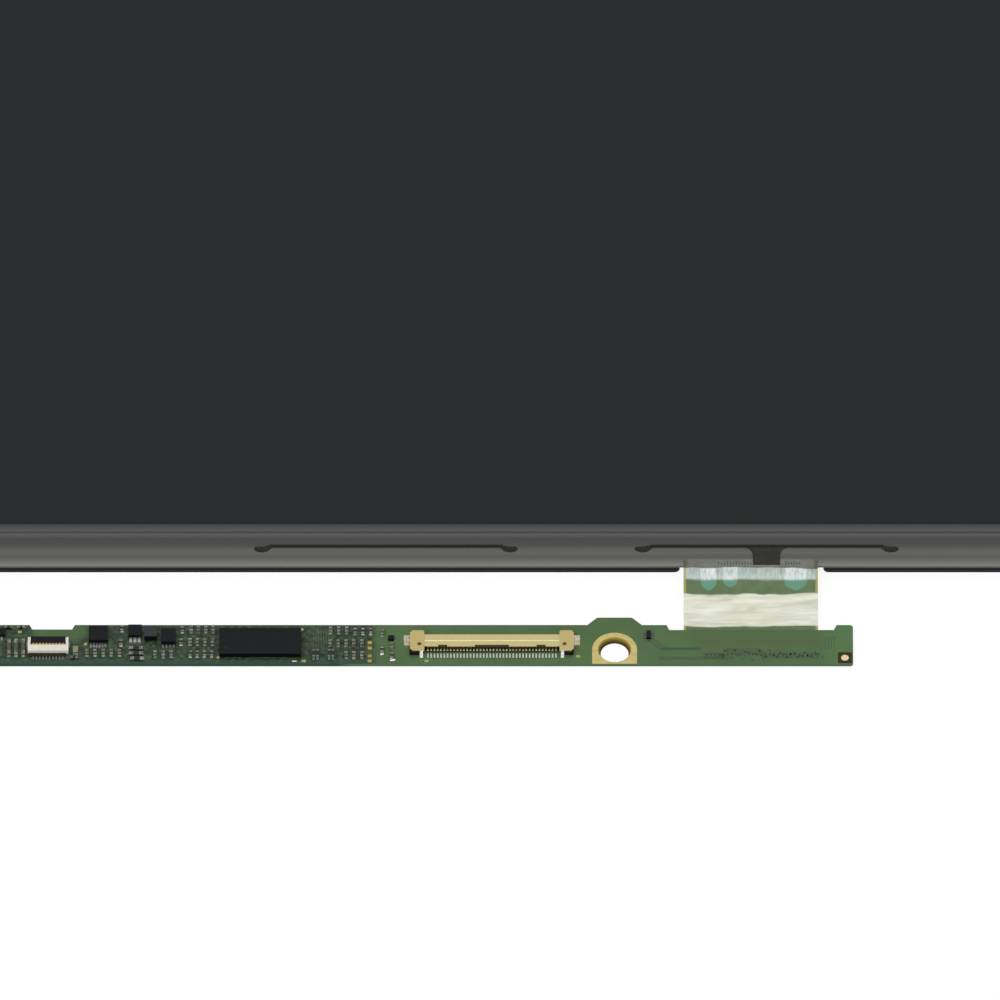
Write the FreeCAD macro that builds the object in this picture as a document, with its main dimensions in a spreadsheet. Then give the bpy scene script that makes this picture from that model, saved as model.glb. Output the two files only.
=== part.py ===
import FreeCAD, Part
import os
import re

import Sketcher

# Liquid crystal screen panel of a laptop computer, lying on its back with its circuit board laid out flat.
# Millimetres. X runs along the panel, Y from the board's near edge to the panel's far edge, Z up.
# The origin is the middle of the outline, on the surface that the panel and the board lie on.

doc = FreeCAD.newDocument("ScreenPanel")
sheet = doc.addObject("Spreadsheet::Sheet", "Sizes")
nodes = []

# Driving dimensions
sizes = {
    # Outline of the whole
    "panel_width": 300.0,  # panel, left to right
    "panel_depth": 179.2,  # panel, near edge to far edge
    "board_reach": 18.95,  # panel's near edge to the board's near edge
    # Layers, from the table up
    "tray_wall": 0.2,  # rear tray, sheet metal
    "tray_rim": 1.0,  # rear tray, height of its folded rim
    "reflector_gauge": 0.1,  # reflector sheet
    "guide_gauge": 0.4,  # light guide
    "diffuser_gauge": 0.1,  # diffuser sheet
    "prism_gauge": 0.08,  # each prism sheet
    "sheet_slack": 0.04,  # play over the loose sheets
    "polariser_gauge": 0.1,  # each polariser film
    "glass_gauge": 0.4,  # each sheet of glass
    "tape_gauge": 0.05,  # light shield tape
    # Frame and glass edges
    "lip_depth": 1.6,  # frame's lip in front of the tray
    "near_bar": 3.4,  # frame bar under the ledge
    "side_bar": 2.4,  # frame bars at the sides and the far edge
    "glass_inset": 0.5,  # glass in from the panel's outline
    "ledge_depth": 8.25,  # near edge of the glass to the front polariser
    "wiring_depth": 6.95,  # near edge of the glass to the filter glass
    "polariser_inset": 0.7,  # polariser in from the edge of the glass
    "shield_inset": 0.3,  # tape in from the panel's outline
    "shield_near": 9.0,  # near edge of the panel to the tape's window
    "sheet_play": 0.2,  # loose sheets, play to the frame
    # Light source
    "led_strip_depth": 1.9,  # film that carries the lamps
    "led_length": 3.0,  # one lamp
    "led_depth": 1.2,  # one lamp, towards the light guide
    "led_height": 0.38,  # one lamp
    "led_pitch": 7.2,  # lamp to lamp
    "led_gap": 0.1,  # lamps to the light guide
    # Drivers on the ledge
    "driver_length": 35.7,  # one driver chip
    "driver_depth": 0.45,  # one driver chip
    "driver_height": 0.15,  # one driver chip
    "driver_inset": 3.95,  # near edge of the glass to a driver
    "driver_margin": 2.47,  # film's middle to the middle of the driver above it
    "driver_pitch": 58.15,  # outer driver to the inner driver beside it
    "resin_radius": 0.9,  # drop of resin at a driver's end
    "resin_drop": 0.55,  # drop of resin, below the driver's middle line
    # Flexible films to the board
    "flex_inset": 41.65,  # panel's side edge to a film's middle
    "flex_width": 20.5,  # film
    "flex_gauge": 0.08,  # film
    "flex_bond": 1.25,  # film's bonded end on the glass
    "flex_tongue": 1.5,  # film's end inside the board
    "flex_level": 0.26,  # film's height where it enters the board
    "notch_inner": 0.55,  # gap in the lip, beside the film's inner edge
    "notch_outer": 0.85,  # gap in the lip, beside the film's outer edge
    "notch_round": 0.8,  # rounding of the lip's ends
    # Circuit board
    "board_end": 5.3,  # board beyond a film's outer edge
    "board_depth": 7.8,  # board
    "board_gauge": 0.6,  # board
    "recess_depth": 1.0,  # step in the far edge for a film
    "recess_inner": 2.6,  # step, beyond the film's inner edge
    "recess_outer": 2.8,  # step, beyond the film's outer edge
    "step_slope": 0.4,  # slant at the step's ends
    "hole_apart": 10.54,  # film's inner edge to a screw hole
    "hole_in": 2.8,  # board's near edge to a screw hole
    "hole_radius": 2.55,  # screw hole
    "tab_rise": 1.5,  # tab beyond the board's far edge, at a screw hole
    "tab_width": 5.3,  # tab, at its top
    "tab_foot": 8.3,  # tab, at its foot
    "land_radius": 3.42,  # gold land round a screw hole
    "land_gauge": 0.04,  # gold land
    "board_round": 0.5,  # board's corners
    "ribbon_gap": 2.34,  # ribbon socket to the first input capacitor
    "ribbon_notch": 6.5,  # notch in the far edge in front of the ribbon socket
    "ribbon_notch_depth": 0.9,  # notch in the far edge
    "ribbon_notch_shift": 0.58,  # notch, right of the ribbon socket's middle
    "flex_spring": 0.12,  # film's slight bow between the glass and the board
    # Display socket
    "socket_gap": 1.85,  # display socket to the gold land of the right screw hole
    "contact_pitch": 0.5,  # display socket, contact to contact
    "contact_count": 40,  # display socket, number of contacts
    "contact_width": 0.25,  # display contact
    "contact_gauge": 0.12,  # display contact, metal
    "contact_foot": 1.1,  # board's near edge to the contacts' feet
    "foot_length": 1.1,  # display contact, soldered foot
    "heel_gap": 0.42,  # display contact, heel to the insulator
    "arm_height": 0.42,  # display contact, top of its arm
    "arm_reach": 2.5,  # display contact, arm beyond its foot
    "insulator_out": 1.9,  # display socket, shell between its ears to the insulator's end
    "insulator_depth": 2.28,  # display socket, insulator
    "insulator_height": 0.78,  # display socket, insulator
    "end_width": 1.1,  # display socket, block at each end of the insulator
    "end_depth": 0.98,  # display socket, end block in front of the insulator
    "mouth_width": 20.4,  # display socket, mouth for the plug
    "mouth_depth": 1.75,  # display socket, mouth for the plug
    "mouth_low": 0.18,  # display socket, floor of the mouth
    "mouth_height": 0.4,  # display socket, mouth
    "shell_gauge": 0.14,  # display socket, shell metal
    "shell_width": 20.6,  # display socket, shell between its ears
    "shell_depth": 2.28,  # display socket, shell over the contacts
    "shell_step": 0.12,  # display socket, step along the shell
    "ear_width": 2.03,  # display socket, ear of the shell
    "ear_depth": 4.04,  # display socket, ear of the shell
    "ear_hole": 0.32,  # display socket, hole in an ear, radius
    "ear_overlap": 0.285,  # display socket, ears beyond the contacts' heels
    "ear_rim": 0.35,  # display socket, folded rim of an ear
    "ear_round": 0.35,  # display socket, rounding of an ear
    "ear_hole_out": 0.76,  # display socket, shell between its ears to an ear's hole
    "ear_hole_in": 1.315,  # display socket, ear's near edge to its hole
    "window_depth": 0.3,  # display socket, windows in the shell's near edge
    "window_middle": 5.2,  # display socket, middle window
    "window_outer": 1.4,  # display socket, outer windows
    "window_spread": 7.5,  # display socket, middle to an outer window
    "clip_reach": 0.95,  # display socket, solder clip beyond an ear
    "clip_in": 1.725,  # display socket, ear's near edge to its solder clip
    "clip_depth": 1.98,  # display socket, solder clip
    "leg_width": 0.5,  # display socket, shell's solder leg
    "leg_out": 0.2,  # display socket, shell between its ears to a solder leg
    # Ribbon socket
    "ribbon_pitch": 0.5,  # ribbon socket, contact to contact
    "ribbon_count": 10,  # ribbon socket, number of contacts
    "tooth_width": 0.16,  # ribbon contact
    "tooth_gauge": 0.12,  # ribbon contact, metal
    "tooth_heel": 0.3,  # ribbon contact, heel inside the block
    "tooth_throat": 0.1,  # ribbon contact, throat inside the block
    "tooth_lift": 0.06,  # ribbon contact, lower arm over the floor
    "tooth_lower": 1.1,  # ribbon contact, lower arm beyond the block
    "tooth_upper": 0.35,  # ribbon contact, upper arm beyond the block
    "tooth_cover": 0.02,  # ribbon contact, upper arm below the block's top
    "ribbon_foot": 0.7,  # board's near edge to the ribbon contacts' feet
    "ribbon_width": 6.2,  # ribbon socket, housing
    "ribbon_block": 1.2,  # ribbon socket, block behind the ribbon
    "ribbon_near": 2.05,  # board's near edge to the ribbon socket
    "ribbon_height": 0.72,  # ribbon socket
    "ribbon_floor": 0.16,  # ribbon socket, floor under the ribbon
    "ribbon_floor_depth": 2.0,  # ribbon socket, floor beyond its block
    "arm_gauge": 0.4,  # ribbon socket, arm that carries the latch
    "arm_depth": 1.29,  # ribbon socket, arm that carries the latch
    "latch_length": 0.99,  # latch, axis to its free edge
    "latch_heel": 0.14,  # latch, axis to its back
    "latch_gauge": 0.42,  # latch
    "latch_under": 0.15,  # latch, axis to its underside
    "latch_nose": 0.15,  # latch, axis to the top of its nose
    "nail_in": 0.1,  # ribbon socket, block to a nail
    "latch_axis_y": 0.75,  # ribbon socket, block to the latch's axis
    "latch_axis_z": 0.45,  # ribbon socket, latch's axis above the board
    "latch_play": 0.06,  # latch, play at each end
    "pivot_radius": 0.14,  # latch, pivot
    "pivot_play": 0.05,  # latch, radial play of its pivot
    "pivot_length": 0.22,  # latch, pivot
    "latch_bevel": 0.1,  # latch, bevel along its edges
    "nail_width": 0.22,  # ribbon socket, solder nail
    "nail_depth": 0.9,  # ribbon socket, solder nail
    # Chips
    "lead_width": 0.3,  # chip lead
    "broad_lead": 0.42,  # regulator's lead
    "lead_gauge": 0.15,  # chip lead
    # Capacitors and resistors
    "cap_length": 1.0,  # small capacitor
    "cap_width": 0.5,  # small capacitor
    "cap_height": 0.5,  # small capacitor
    "bulk_length": 3.1,  # large capacitor
    "bulk_width": 0.5,  # large capacitor
    "bulk_height": 0.5,  # large capacitor
    "res_length": 1.0,  # resistor
    "res_width": 0.5,  # resistor
    "res_height": 0.35,  # resistor
    "shunt_length": 2.1,  # long resistor
    "shunt_width": 0.6,  # long resistor
    "shunt_height": 0.3,  # long resistor
    "fuse_length": 1.3,  # input fuse
    "fuse_width": 0.8,  # input fuse
    "fuse_height": 0.45,  # input fuse
    "quad_length": 1.5,  # four-pole part
    "quad_width": 0.95,  # four-pole part
    "quad_height": 0.6,  # four-pole part
    # Each chip: how far left of the piece beside it its middle is, its inset from the board's near edge, its body
    "controller_gap": 1.755,  # timing controller to the four-pole part beside it
    "controller_inset": 1.34,
    "controller_length": 12.45,
    "controller_depth": 5.17,
    "controller_height": 0.95,
    "controller_bevel": 0.12,
    "converter_x": 18.48,  # power converter
    "converter_inset": 4.07,
    "converter_length": 2.85,
    "converter_depth": 2.95,
    "converter_height": 0.95,
    "converter_pitch": 0.44,  # lead to lead
    "converter_lead": 0.7,  # length of a lead
    "converter_bevel": 0.1,
    "regulator_x": 12.88,  # regulator
    "regulator_inset": 5.25,
    "regulator_length": 2.04,
    "regulator_depth": 2.14,
    "regulator_height": 0.6,
    "regulator_pitch": 0.64,  # lead to lead
    "regulator_lead": 1.05,  # length of a lead
    "switch_x": 7.79,  # switch chip
    "switch_inset": 3.78,
    "switch_length": 2.22,
    "switch_depth": 2.65,
    "switch_height": 0.8,
    "switch_pitch": 0.55,  # lead to lead
    "switch_lead": 0.5,  # length of a lead
    "memory_x": 4.73,  # memory chip
    "memory_inset": 5.4,
    "memory_length": 3.0,
    "memory_depth": 1.3,
    "memory_height": 0.55,
    "memory_pitch": 0.95,  # lead to lead
    "memory_lead": 0.6,  # length of a lead
    "coil_x": 10.48,  # coil
    "coil_inset": 4.65,
    "coil_length": 1.95,
    "coil_depth": 2.1,
    "coil_height": 1.15,
    "coil_bevel": 0.1,
    "diode_x": 1.95,  # black clamp diode
    "diode_inset": 4.6,
    "diode_length": 0.9,
    "diode_depth": 0.8,
    "diode_height": 0.4,
    "array_apart": 5.2,  # right screw hole to the little protection array
    "array_inset": 4.95,
    "array_length": 0.65,
    "array_depth": 1.45,
    "array_height": 0.4,
    "array_pitch": 0.45,  # lead to lead
    "array_lead": 0.5,  # length of a lead
    # Each row of small parts: its first part left of the piece beside it, its inset likewise, and part to part
    "input_x": 20.19,
    "input_inset": 2.05,
    "input_pitch": 1.24,
    "output_x": 9.78,
    "output_inset": 1.75,
    "output_pitch": 1.22,
    "core_x": 4.33,
    "core_inset": 6.75,
    "core_pitch": 1.12,
    "plane_x": 4.48,
    "plane_inset": 4.25,
    "plane_pitch": 1.138,
    "rail_x": 11.15,
    "rail_inset": 6.55,
    "rail_pitch": 1.22,
    "bank_x": 11.25,
    "bank_inset": 4.0,
    "bank_pitch": 1.22,
    "ground_x": 8.8,
    "ground_inset": 1.6,
    "ground_pitch": 1.2,
    "feed_x": 3.29,
    "feed_inset": 6.0,
    "bulk_x": 2.66,
    "bulk_inset": 3.05,
    "bulk_pitch": 1.09,
    "sense_x": 14.85,
    "sense_inset": 6.95,
    "divider_x": 12.69,
    "divider_inset": 3.0,
    "bias_x": 12.69,
    "bias_inset": 1.95,
    "pull_x": 12.55,
    "pull_inset": 0.9,
    "link_x": 15.0,
    "link_inset": 4.07,
    "strap_x": 4.45,
    "strap_inset": 1.85,
    "strap_pitch": 1.08,
    "series_x": 7.45,
    "series_inset": 6.4,
    "series_pitch": 1.2,
    "clamp_x": 3.32,
    "clamp_inset": 2.65,
    "gate_x": 5.65,
    "gate_inset": 6.75,
    "drain_x": 5.81,
    "drain_inset": 4.25,
    "fuse_x": 21.93,
    "fuse_inset": 2.57,
    "bead_x": 22.11,
    "bead_inset": 1.1,
    "snub_x": 1.85,
    "snub_inset": 3.35,
    "stub_x": 1.85,
    "stub_inset": 1.5,
    "edge_x": 2.73,
    "edge_inset": 7.25,
    "edge_pitch": 1.9,
    "filter_x": 13.42,
    "filter_inset": 1.7,
    "filter_pitch": 2.33,
}
for line, (alias, number) in enumerate(sizes.items(), 1):
    sheet.set(f"A{line}", alias.replace("_", " "))
    sheet.set(f"B{line}", str(number))
    sheet.setAlias(f"B{line}", alias)
sheet.recompute()


def value(formula):
    """The number that a formula of aliases gives now."""
    return float(sheet.evalExpression(formula))


def bind(thing, place, formula):
    """Ties a property to a formula of aliases."""
    words = re.sub(r"[A-Za-z_]\w*", lambda m: f"Sizes.{m[0]}" if m[0] in sizes else m[0], formula)
    thing.setExpression(place, words)


def put(thing, x="0", y="0", z="0"):
    """Ties a thing's place to formulas."""
    for letter, formula in zip("xyz", (x, y, z)):
        bind(thing, f"Placement.Base.{letter}", formula)
    return thing


def node(thing, label):
    """Marks a finished piece, which is written to a file of its own name."""
    thing.Label = label
    nodes.append(thing)
    return thing


def block(name, x, y, z, length, width, height):
    """A plain block with its lowest corner at x, y, z."""
    made = doc.addObject("Part::Box", name)
    for place, formula in (("Length", length), ("Width", width), ("Height", height)):
        bind(made, place, formula)
    return put(made, x, y, z)


def disc(name, x, y, z, radius, height):
    """An upright cylinder on the point x, y, z."""
    made = doc.addObject("Part::Cylinder", name)
    bind(made, "Radius", radius)
    bind(made, "Height", height)
    return put(made, x, y, z)


def cut(name, base, tool):
    """The base less the tool."""
    made = doc.addObject("Part::Cut", name)
    made.Base, made.Tool = base, tool
    return made


def fuse(name, things):
    """One solid of things that meet."""
    made = doc.addObject("Part::MultiFuse", name)
    made.Shapes = things
    made.Refine = True
    return made


def group(name, things):
    """Separate solids of one kind, kept together."""
    made = doc.addObject("Part::Compound", name)
    made.Links = things
    return made


def origin_part(body, role):
    return next(part for part in body.Origin.OriginFeatures if part.Role == role)


def outline(body, plane, points):
    """A closed sketch on one of the body's own planes, with each corner tied to its two formulas."""
    sketch = body.newObject("Sketcher::SketchObject", "Outline")
    sketch.AttachmentSupport = [(origin_part(body, plane), "")]
    sketch.MapMode = "FlatFace"
    corners = [FreeCAD.Vector(value(across), value(along), 0) for across, along in points]
    for here, there in zip(corners, corners[1:] + corners[:1]):
        sketch.addGeometry(Part.LineSegment(here, there), False)
    for i in range(len(points)):
        sketch.addConstraint(Sketcher.Constraint("Coincident", i, 2, (i + 1) % len(points), 1))
    for i, formulas in enumerate(points):
        for kind, formula in zip(("DistanceX", "DistanceY"), formulas):
            number = sketch.addConstraint(Sketcher.Constraint(kind, -1, 1, i, 1, value(formula)))
            bind(sketch, f"Constraints[{number}]", formula)
    return sketch


def pad(body, plane, points, length, both_ways=False):
    """Adds the outline, thickened, to the body."""
    made = body.newObject("PartDesign::Pad", "Pad")
    made.Profile = outline(body, plane, points)
    bind(made, "Length", length)
    if both_ways:
        made.SideType = "Symmetric"
    body.Tip = made
    return made


def pocket(body, plane, points, both_ways=False, upward=True):
    """Cuts the outline right through the body, upward from the plane or both ways."""
    made = body.newObject("PartDesign::Pocket", "Pocket")
    made.Profile = outline(body, plane, points)
    made.Type = "ThroughAll"
    if both_ways:
        made.SideType = "Symmetric"
    made.Reversed = upward
    body.Tip = made
    return made


def soften(body, feature, kind, places, amount):
    """Rounds or bevels the body's upright edges at the places given."""
    doc.recompute()
    found = []
    for across, along in places:
        spot = (value(across), value(along))
        for i, edge in enumerate(feature.Shape.Edges, 1):
            ends = [vertex.Point for vertex in edge.Vertexes]
            upright = len(ends) == 2 and round(ends[0].z - ends[1].z, 3)
            if upright and not any(round(end.x - spot[0], 3) or round(end.y - spot[1], 3) for end in ends):
                found.append(f"Edge{i}")
    made = body.newObject(f"PartDesign::{kind}", kind)
    made.Base = (feature, found)
    bind(made, "Radius" if kind == "Fillet" else "Size", amount)
    body.Tip = made
    return made


# Levels that follow from the layers
guide_low = "(tray_wall + reflector_gauge)"
diffuser_low = f"({guide_low} + guide_gauge)"
lower_prism_low = f"({diffuser_low} + diffuser_gauge)"
upper_prism_low = f"({lower_prism_low} + prism_gauge)"
rear_polariser_low = f"({upper_prism_low} + prism_gauge + sheet_slack)"
array_low = f"({rear_polariser_low} + polariser_gauge)"
filter_low = f"({array_low} + glass_gauge)"
front_polariser_low = f"({filter_low} + glass_gauge)"
frame_top = f"({array_low} - tape_gauge)"

# Edges that follow from the outline
near = "(-(panel_depth + board_reach) / 2)"
low = f"({near} + board_reach)"
high = f"({low} + panel_depth)"
half = "(panel_width / 2)"
frame_side = f"({half} - tray_wall)"
window_side = f"({frame_side} - side_bar)"
window_low = f"({low} + near_bar)"
window_high = f"({high} - tray_wall - side_bar)"
guide_edge = f"({window_low} + led_strip_depth)"
glass_side = f"({half} - glass_inset)"
glass_high = f"({high} - glass_inset)"
driver_y = f"({low} + driver_inset)"
board_far = f"({near} + board_depth)"
film_middle = f"({half} - flex_inset)"
film_inner = f"({film_middle} - flex_width / 2)"
film_outer = f"({film_middle} + flex_width / 2)"
outer_driver = f"({film_middle} + driver_margin)"
inner_driver = f"({outer_driver} - driver_pitch)"
board_side = f"({film_outer} + board_end)"
hole_middle = f"({film_inner} - hole_apart)"
socket_half = "(shell_width / 2 + ear_width + shell_gauge + clip_reach)"
socket_middle = f"({hole_middle} - land_radius - socket_gap - {socket_half})"
socket_left = f"({socket_middle} - {socket_half})"
controller_right = f"({socket_left} - filter_x - quad_width / 2 - controller_gap)"
controller_left = f"({controller_right} - controller_length)"
ribbon_half = "(ribbon_width / 2 + nail_width)"
ribbon_middle = f"({controller_left} - input_x - cap_width / 2 - ribbon_gap - {ribbon_half})"
ribbon_left = f"({ribbon_middle} - {ribbon_half})"
notch_middle = f"({ribbon_middle} + ribbon_notch_shift)"
step_edge = f"({board_far} - recess_depth)"


def sheet_layer(label, low_edge, bottom, gauge, side=f"({window_side} - sheet_play)",
                high_edge=f"({window_high} - sheet_play)"):
    """A flat rectangular sheet, the same to the left and the right."""
    made = block(label, f"-{side}", low_edge, bottom, f"2 * {side}", f"{high_edge} - {low_edge}", gauge)
    return node(made, label)


def rectangle(left, right, bottom, top):
    return [(left, bottom), (right, bottom), (right, top), (left, top)]


# Rear tray: sheet metal, folded up along three sides and open at the near side, where the frame's lip stands
tray = doc.addObject("PartDesign::Body", "Tray")
tray_low = f"({low} + lip_depth)"
pad(tray, "XY_Plane", rectangle(f"-{half}", half, tray_low, high), "tray_wall")
pad(tray, "XY_Plane", [
    (f"-{half}", tray_low), (f"-{frame_side}", tray_low), (f"-{frame_side}", f"{high} - tray_wall"),
    (frame_side, f"{high} - tray_wall"), (frame_side, tray_low), (half, tray_low), (half, high), (f"-{half}", high),
], "tray_rim")
node(tray, "rear_tray")

# Moulded frame: a black ring on the tray's floor, with a deeper lip along the near side
frame = doc.addObject("PartDesign::Body", "Frame")
pad(frame, "XY_Plane", rectangle(f"-{frame_side}", frame_side, tray_low, f"{high} - tray_wall"), frame_top)
pad(frame, "XY_Plane", rectangle(f"-{half}", half, low, tray_low), frame_top)
pocket(frame, "XY_Plane", rectangle(f"-{window_side}", window_side, window_low, window_high))
notch_corners = []
for side in ("", "-"):
    ends = [f"{side}({film_inner} - notch_inner)", f"{side}({film_outer} + notch_outer)"]
    last = pocket(frame, "XY_Plane", rectangle(ends[0], ends[1], low, tray_low))
    notch_corners += [(end, low) for end in ends]
soften(frame, last, "Fillet", notch_corners, "notch_round")
moulding = cut("FrameOnTray", frame, block(
    "TrayFloorRoom", f"-{half}", tray_low, "0", "panel_width", f"{high} - {tray_low}", "tray_wall"))
node(moulding, "mould_frame")

# Loose sheets of the light box, one on the other
sheet_layer("reflector_sheet", guide_edge, "tray_wall", "reflector_gauge")
sheet_layer("light_guide", guide_edge, guide_low, "guide_gauge")
sheet_layer("diffuser_sheet", guide_edge, diffuser_low, "diffuser_gauge")
sheet_layer("lower_prism_sheet", guide_edge, lower_prism_low, "prism_gauge")
sheet_layer("upper_prism_sheet", guide_edge, upper_prism_low, "prism_gauge")

# Row of lamps on their film, against the near edge of the light guide
strip_side = f"({window_side} - sheet_play)"
node(block("LedStrip", f"-{strip_side}", window_low, "tray_wall",
           f"2 * {strip_side}", "led_strip_depth", "reflector_gauge"), "led_strip")
lamps = doc.addObject("PartDesign::Body", "Lamps")
lamp_pad = pad(lamps, "XY_Plane", rectangle("0", "led_length", "0", "led_depth"), "led_height")
lamp_row = lamps.newObject("PartDesign::LinearPattern", "Row")
lamp_row.Originals = [lamp_pad]
lamp_row.Direction = (origin_part(lamps, "X_Axis"), [""])
lamp_row.Mode = "Spacing"
bind(lamp_row, "Offset", "led_pitch")
lamp_count = int((2 * value(strip_side) - value("led_length")) / value("led_pitch")) + 1
lamp_row.Occurrences = lamp_count
lamps.Tip = lamp_row
put(lamps, f"-({lamp_count - 1} * led_pitch + led_length) / 2", f"{guide_edge} - led_gap - led_depth", guide_low)
node(lamps, "led_lamps")

# Black tape that seals the glass to the frame and hides the lamps
shield = doc.addObject("PartDesign::Body", "Shield")
pad(shield, "XY_Plane", rectangle(f"-({half} - shield_inset)", f"{half} - shield_inset", f"{low} + lip_depth",
                                  f"{high} - shield_inset"), "tape_gauge")
pocket(shield, "XY_Plane", rectangle(f"-{window_side}", window_side, f"{low} + shield_near", window_high))
put(shield, z=frame_top)
node(shield, "light_shield_tape")

# Glass and its films: the array glass reaches further to the near side, as the ledge that carries the drivers
sheet_layer("rear_polariser", f"({low} + shield_near + sheet_play)", rear_polariser_low, "polariser_gauge")
sheet_layer("array_glass", low, array_low, "glass_gauge", glass_side, glass_high)
sheet_layer("filter_glass", f"({low} + wiring_depth)", filter_low, "glass_gauge", glass_side, glass_high)
sheet_layer("front_polariser", f"({low} + ledge_depth)", front_polariser_low, "polariser_gauge",
            f"({glass_side} - polariser_inset)", f"({glass_high} - polariser_inset)")

# Driver chips bonded to the ledge, two to each side, and the drops of resin at their ends
DROP_SIDES = 10
chips, drops = [], []
for side in ("-", ""):
    for reach in (inner_driver, outer_driver):
        chips.append(block("Driver", f"{side}{reach} - driver_length / 2", f"{driver_y} - driver_depth / 2",
                           filter_low, "driver_length", "driver_depth", "driver_height"))
        for end in ("-", "+"):
            drop = doc.addObject("Part::Prism", "Resin")
            drop.Polygon = DROP_SIDES
            bind(drop, "Circumradius", "resin_radius")
            bind(drop, "Height", "driver_height")
            put(drop, f"{side}{reach} {end} (driver_length / 2 + resin_radius)", f"{driver_y} - resin_drop", filter_low)
            drops.append(drop)
node(group("Drivers", chips), "source_drivers")
node(group("Resin", drops), "driver_resin")

# Circuit board: one outline with a notch for the ribbon, a tab at each screw hole and a step at each film


def board_half_outline(side):
    """The far edge from the board's end to the ribbon's notch, on one side."""
    spots = [
        (board_side, near),
        (board_side, board_far),
        (f"{film_outer} + recess_outer", board_far),
        (f"{film_outer} + recess_outer - step_slope", step_edge),
        (f"{film_inner} - recess_inner + step_slope", step_edge),
        (f"{film_inner} - recess_inner", board_far),
        (f"{hole_middle} + tab_foot / 2", board_far),
        (f"{hole_middle} + tab_width / 2", f"{board_far} + tab_rise"),
        (f"{hole_middle} - tab_width / 2", f"{board_far} + tab_rise"),
        (f"{hole_middle} - tab_foot / 2", board_far),
    ]
    return [(f"{side}({across})", along) for across, along in spots]


notch = [
    (f"{notch_middle} + ribbon_notch / 2 + step_slope / 2", board_far),
    (f"{notch_middle} + ribbon_notch / 2 - step_slope / 2", f"{board_far} - ribbon_notch_depth"),
    (f"{notch_middle} - ribbon_notch / 2 + step_slope / 2", f"{board_far} - ribbon_notch_depth"),
    (f"{notch_middle} - ribbon_notch / 2 - step_slope / 2", board_far),
]
board = doc.addObject("PartDesign::Body", "Board")
board_pad = pad(board, "XY_Plane", board_half_outline("") + notch + board_half_outline("-")[::-1], "board_gauge")
board_rounds = soften(board, board_pad, "Fillet", [
    (f"{side}{board_side}", along) for side in ("", "-") for along in (near, board_far)
] + [(f"{side}({hole_middle} {way} tab_width / 2)", f"{board_far} + tab_rise") for side in ("", "-") for way in "+-"],
    "board_round")
holes, lands, slots = [], [], []
for side in ("", "-"):
    hole_spot = (f"{side}{hole_middle}", f"{near} + hole_in")
    holes.append(disc("Hole", *hole_spot, "0", "hole_radius", "board_gauge + land_gauge"))
    round_land = disc("RoundLand", *hole_spot, "board_gauge", "land_radius", "land_gauge")
    square_land = block("SquareLand", f"{side}{hole_middle} - land_radius", near, "board_gauge",
                        "2 * land_radius", "hole_in", "land_gauge")
    overhang = block("LandOverhang", f"{side}{hole_middle} - land_radius", f"{near} - land_radius", "board_gauge",
                     "2 * land_radius", "land_radius", "land_gauge")
    land_outline = cut("LandTrimmed", fuse("LandOutline", [round_land, square_land]), overhang)
    lands.append(cut("Land", land_outline, holes[-1]))
    slots.append(block("FilmSlot", f"{side}{film_middle} - flex_width / 2", f"{step_edge} - flex_tongue", "flex_level",
                       "flex_width", "flex_tongue + recess_depth", "flex_gauge"))
node(cut("BoardDrilled", board, group("BoardCuts", holes + slots)), "circuit_board")
node(group("Lands", lands), "screw_lands")

# Flexible films: bonded on the ledge, down over the edge of the glass and into the edge of the board
film_top = value(filter_low)
film_run = value(low) - value(step_edge)


def film_curve(lift):
    """The film's free stretch, as a curve in the plane across the panel."""
    start = FreeCAD.Vector(0, value(low), film_top + lift)
    end = FreeCAD.Vector(0, value(step_edge), value("flex_level") + lift)
    drop = start.z - end.z
    bow = value("flex_spring")
    places = [start]
    for share, fallen, bowed in ((0.06, 0.0, 0.0), (0.3, 0.17, 1.0), (0.55, 0.5, -0.6), (0.8, 0.86, -0.4)):
        places.append(FreeCAD.Vector(0, start.y - share * film_run, start.z - fallen * drop + bow * bowed))
    curve = Part.BSplineCurve()
    flat = FreeCAD.Vector(0, -1, 0)
    curve.interpolate(Points=places + [end], InitialTangent=flat, FinalTangent=flat)
    return curve


def film_solid():
    """The film's bonded end, free stretch and tongue, in one thickness."""
    gauge = value("flex_gauge")
    under, over = film_curve(0), film_curve(gauge)
    bond = FreeCAD.Vector(0, value("flex_bond"), 0)
    tongue = FreeCAD.Vector(0, -value("flex_tongue"), 0)
    corners = [under.EndPoint + tongue, over.EndPoint + tongue, over.StartPoint + bond, under.StartPoint + bond]
    edges = [
        Part.makeLine(corners[3], under.StartPoint), under.toShape(), Part.makeLine(under.EndPoint, corners[0]),
        Part.makeLine(corners[0], corners[1]), Part.makeLine(corners[1], over.EndPoint), over.toShape(),
        Part.makeLine(over.StartPoint, corners[2]), Part.makeLine(corners[2], corners[3]),
    ]
    face = Part.Face(Part.Wire(Part.__sortEdges__(edges)))
    return face.extrude(FreeCAD.Vector(value("flex_width"), 0, 0))


for side, label in (("-", "left_film"), ("", "right_film")):
    film = doc.addObject("Part::Feature", label)
    film.Shape = film_solid()
    put(film, f"{side}{film_middle} - flex_width / 2")
    node(film, label)

# Display socket: an insulator with forty contacts under a folded metal shell

board_top = "board_gauge"
foot_near = f"({near} + contact_foot)"
insulator_near = f"({foot_near} + foot_length + contact_gauge + heel_gap)"
shell_bottom = f"({board_top} + insulator_height)"


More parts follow.
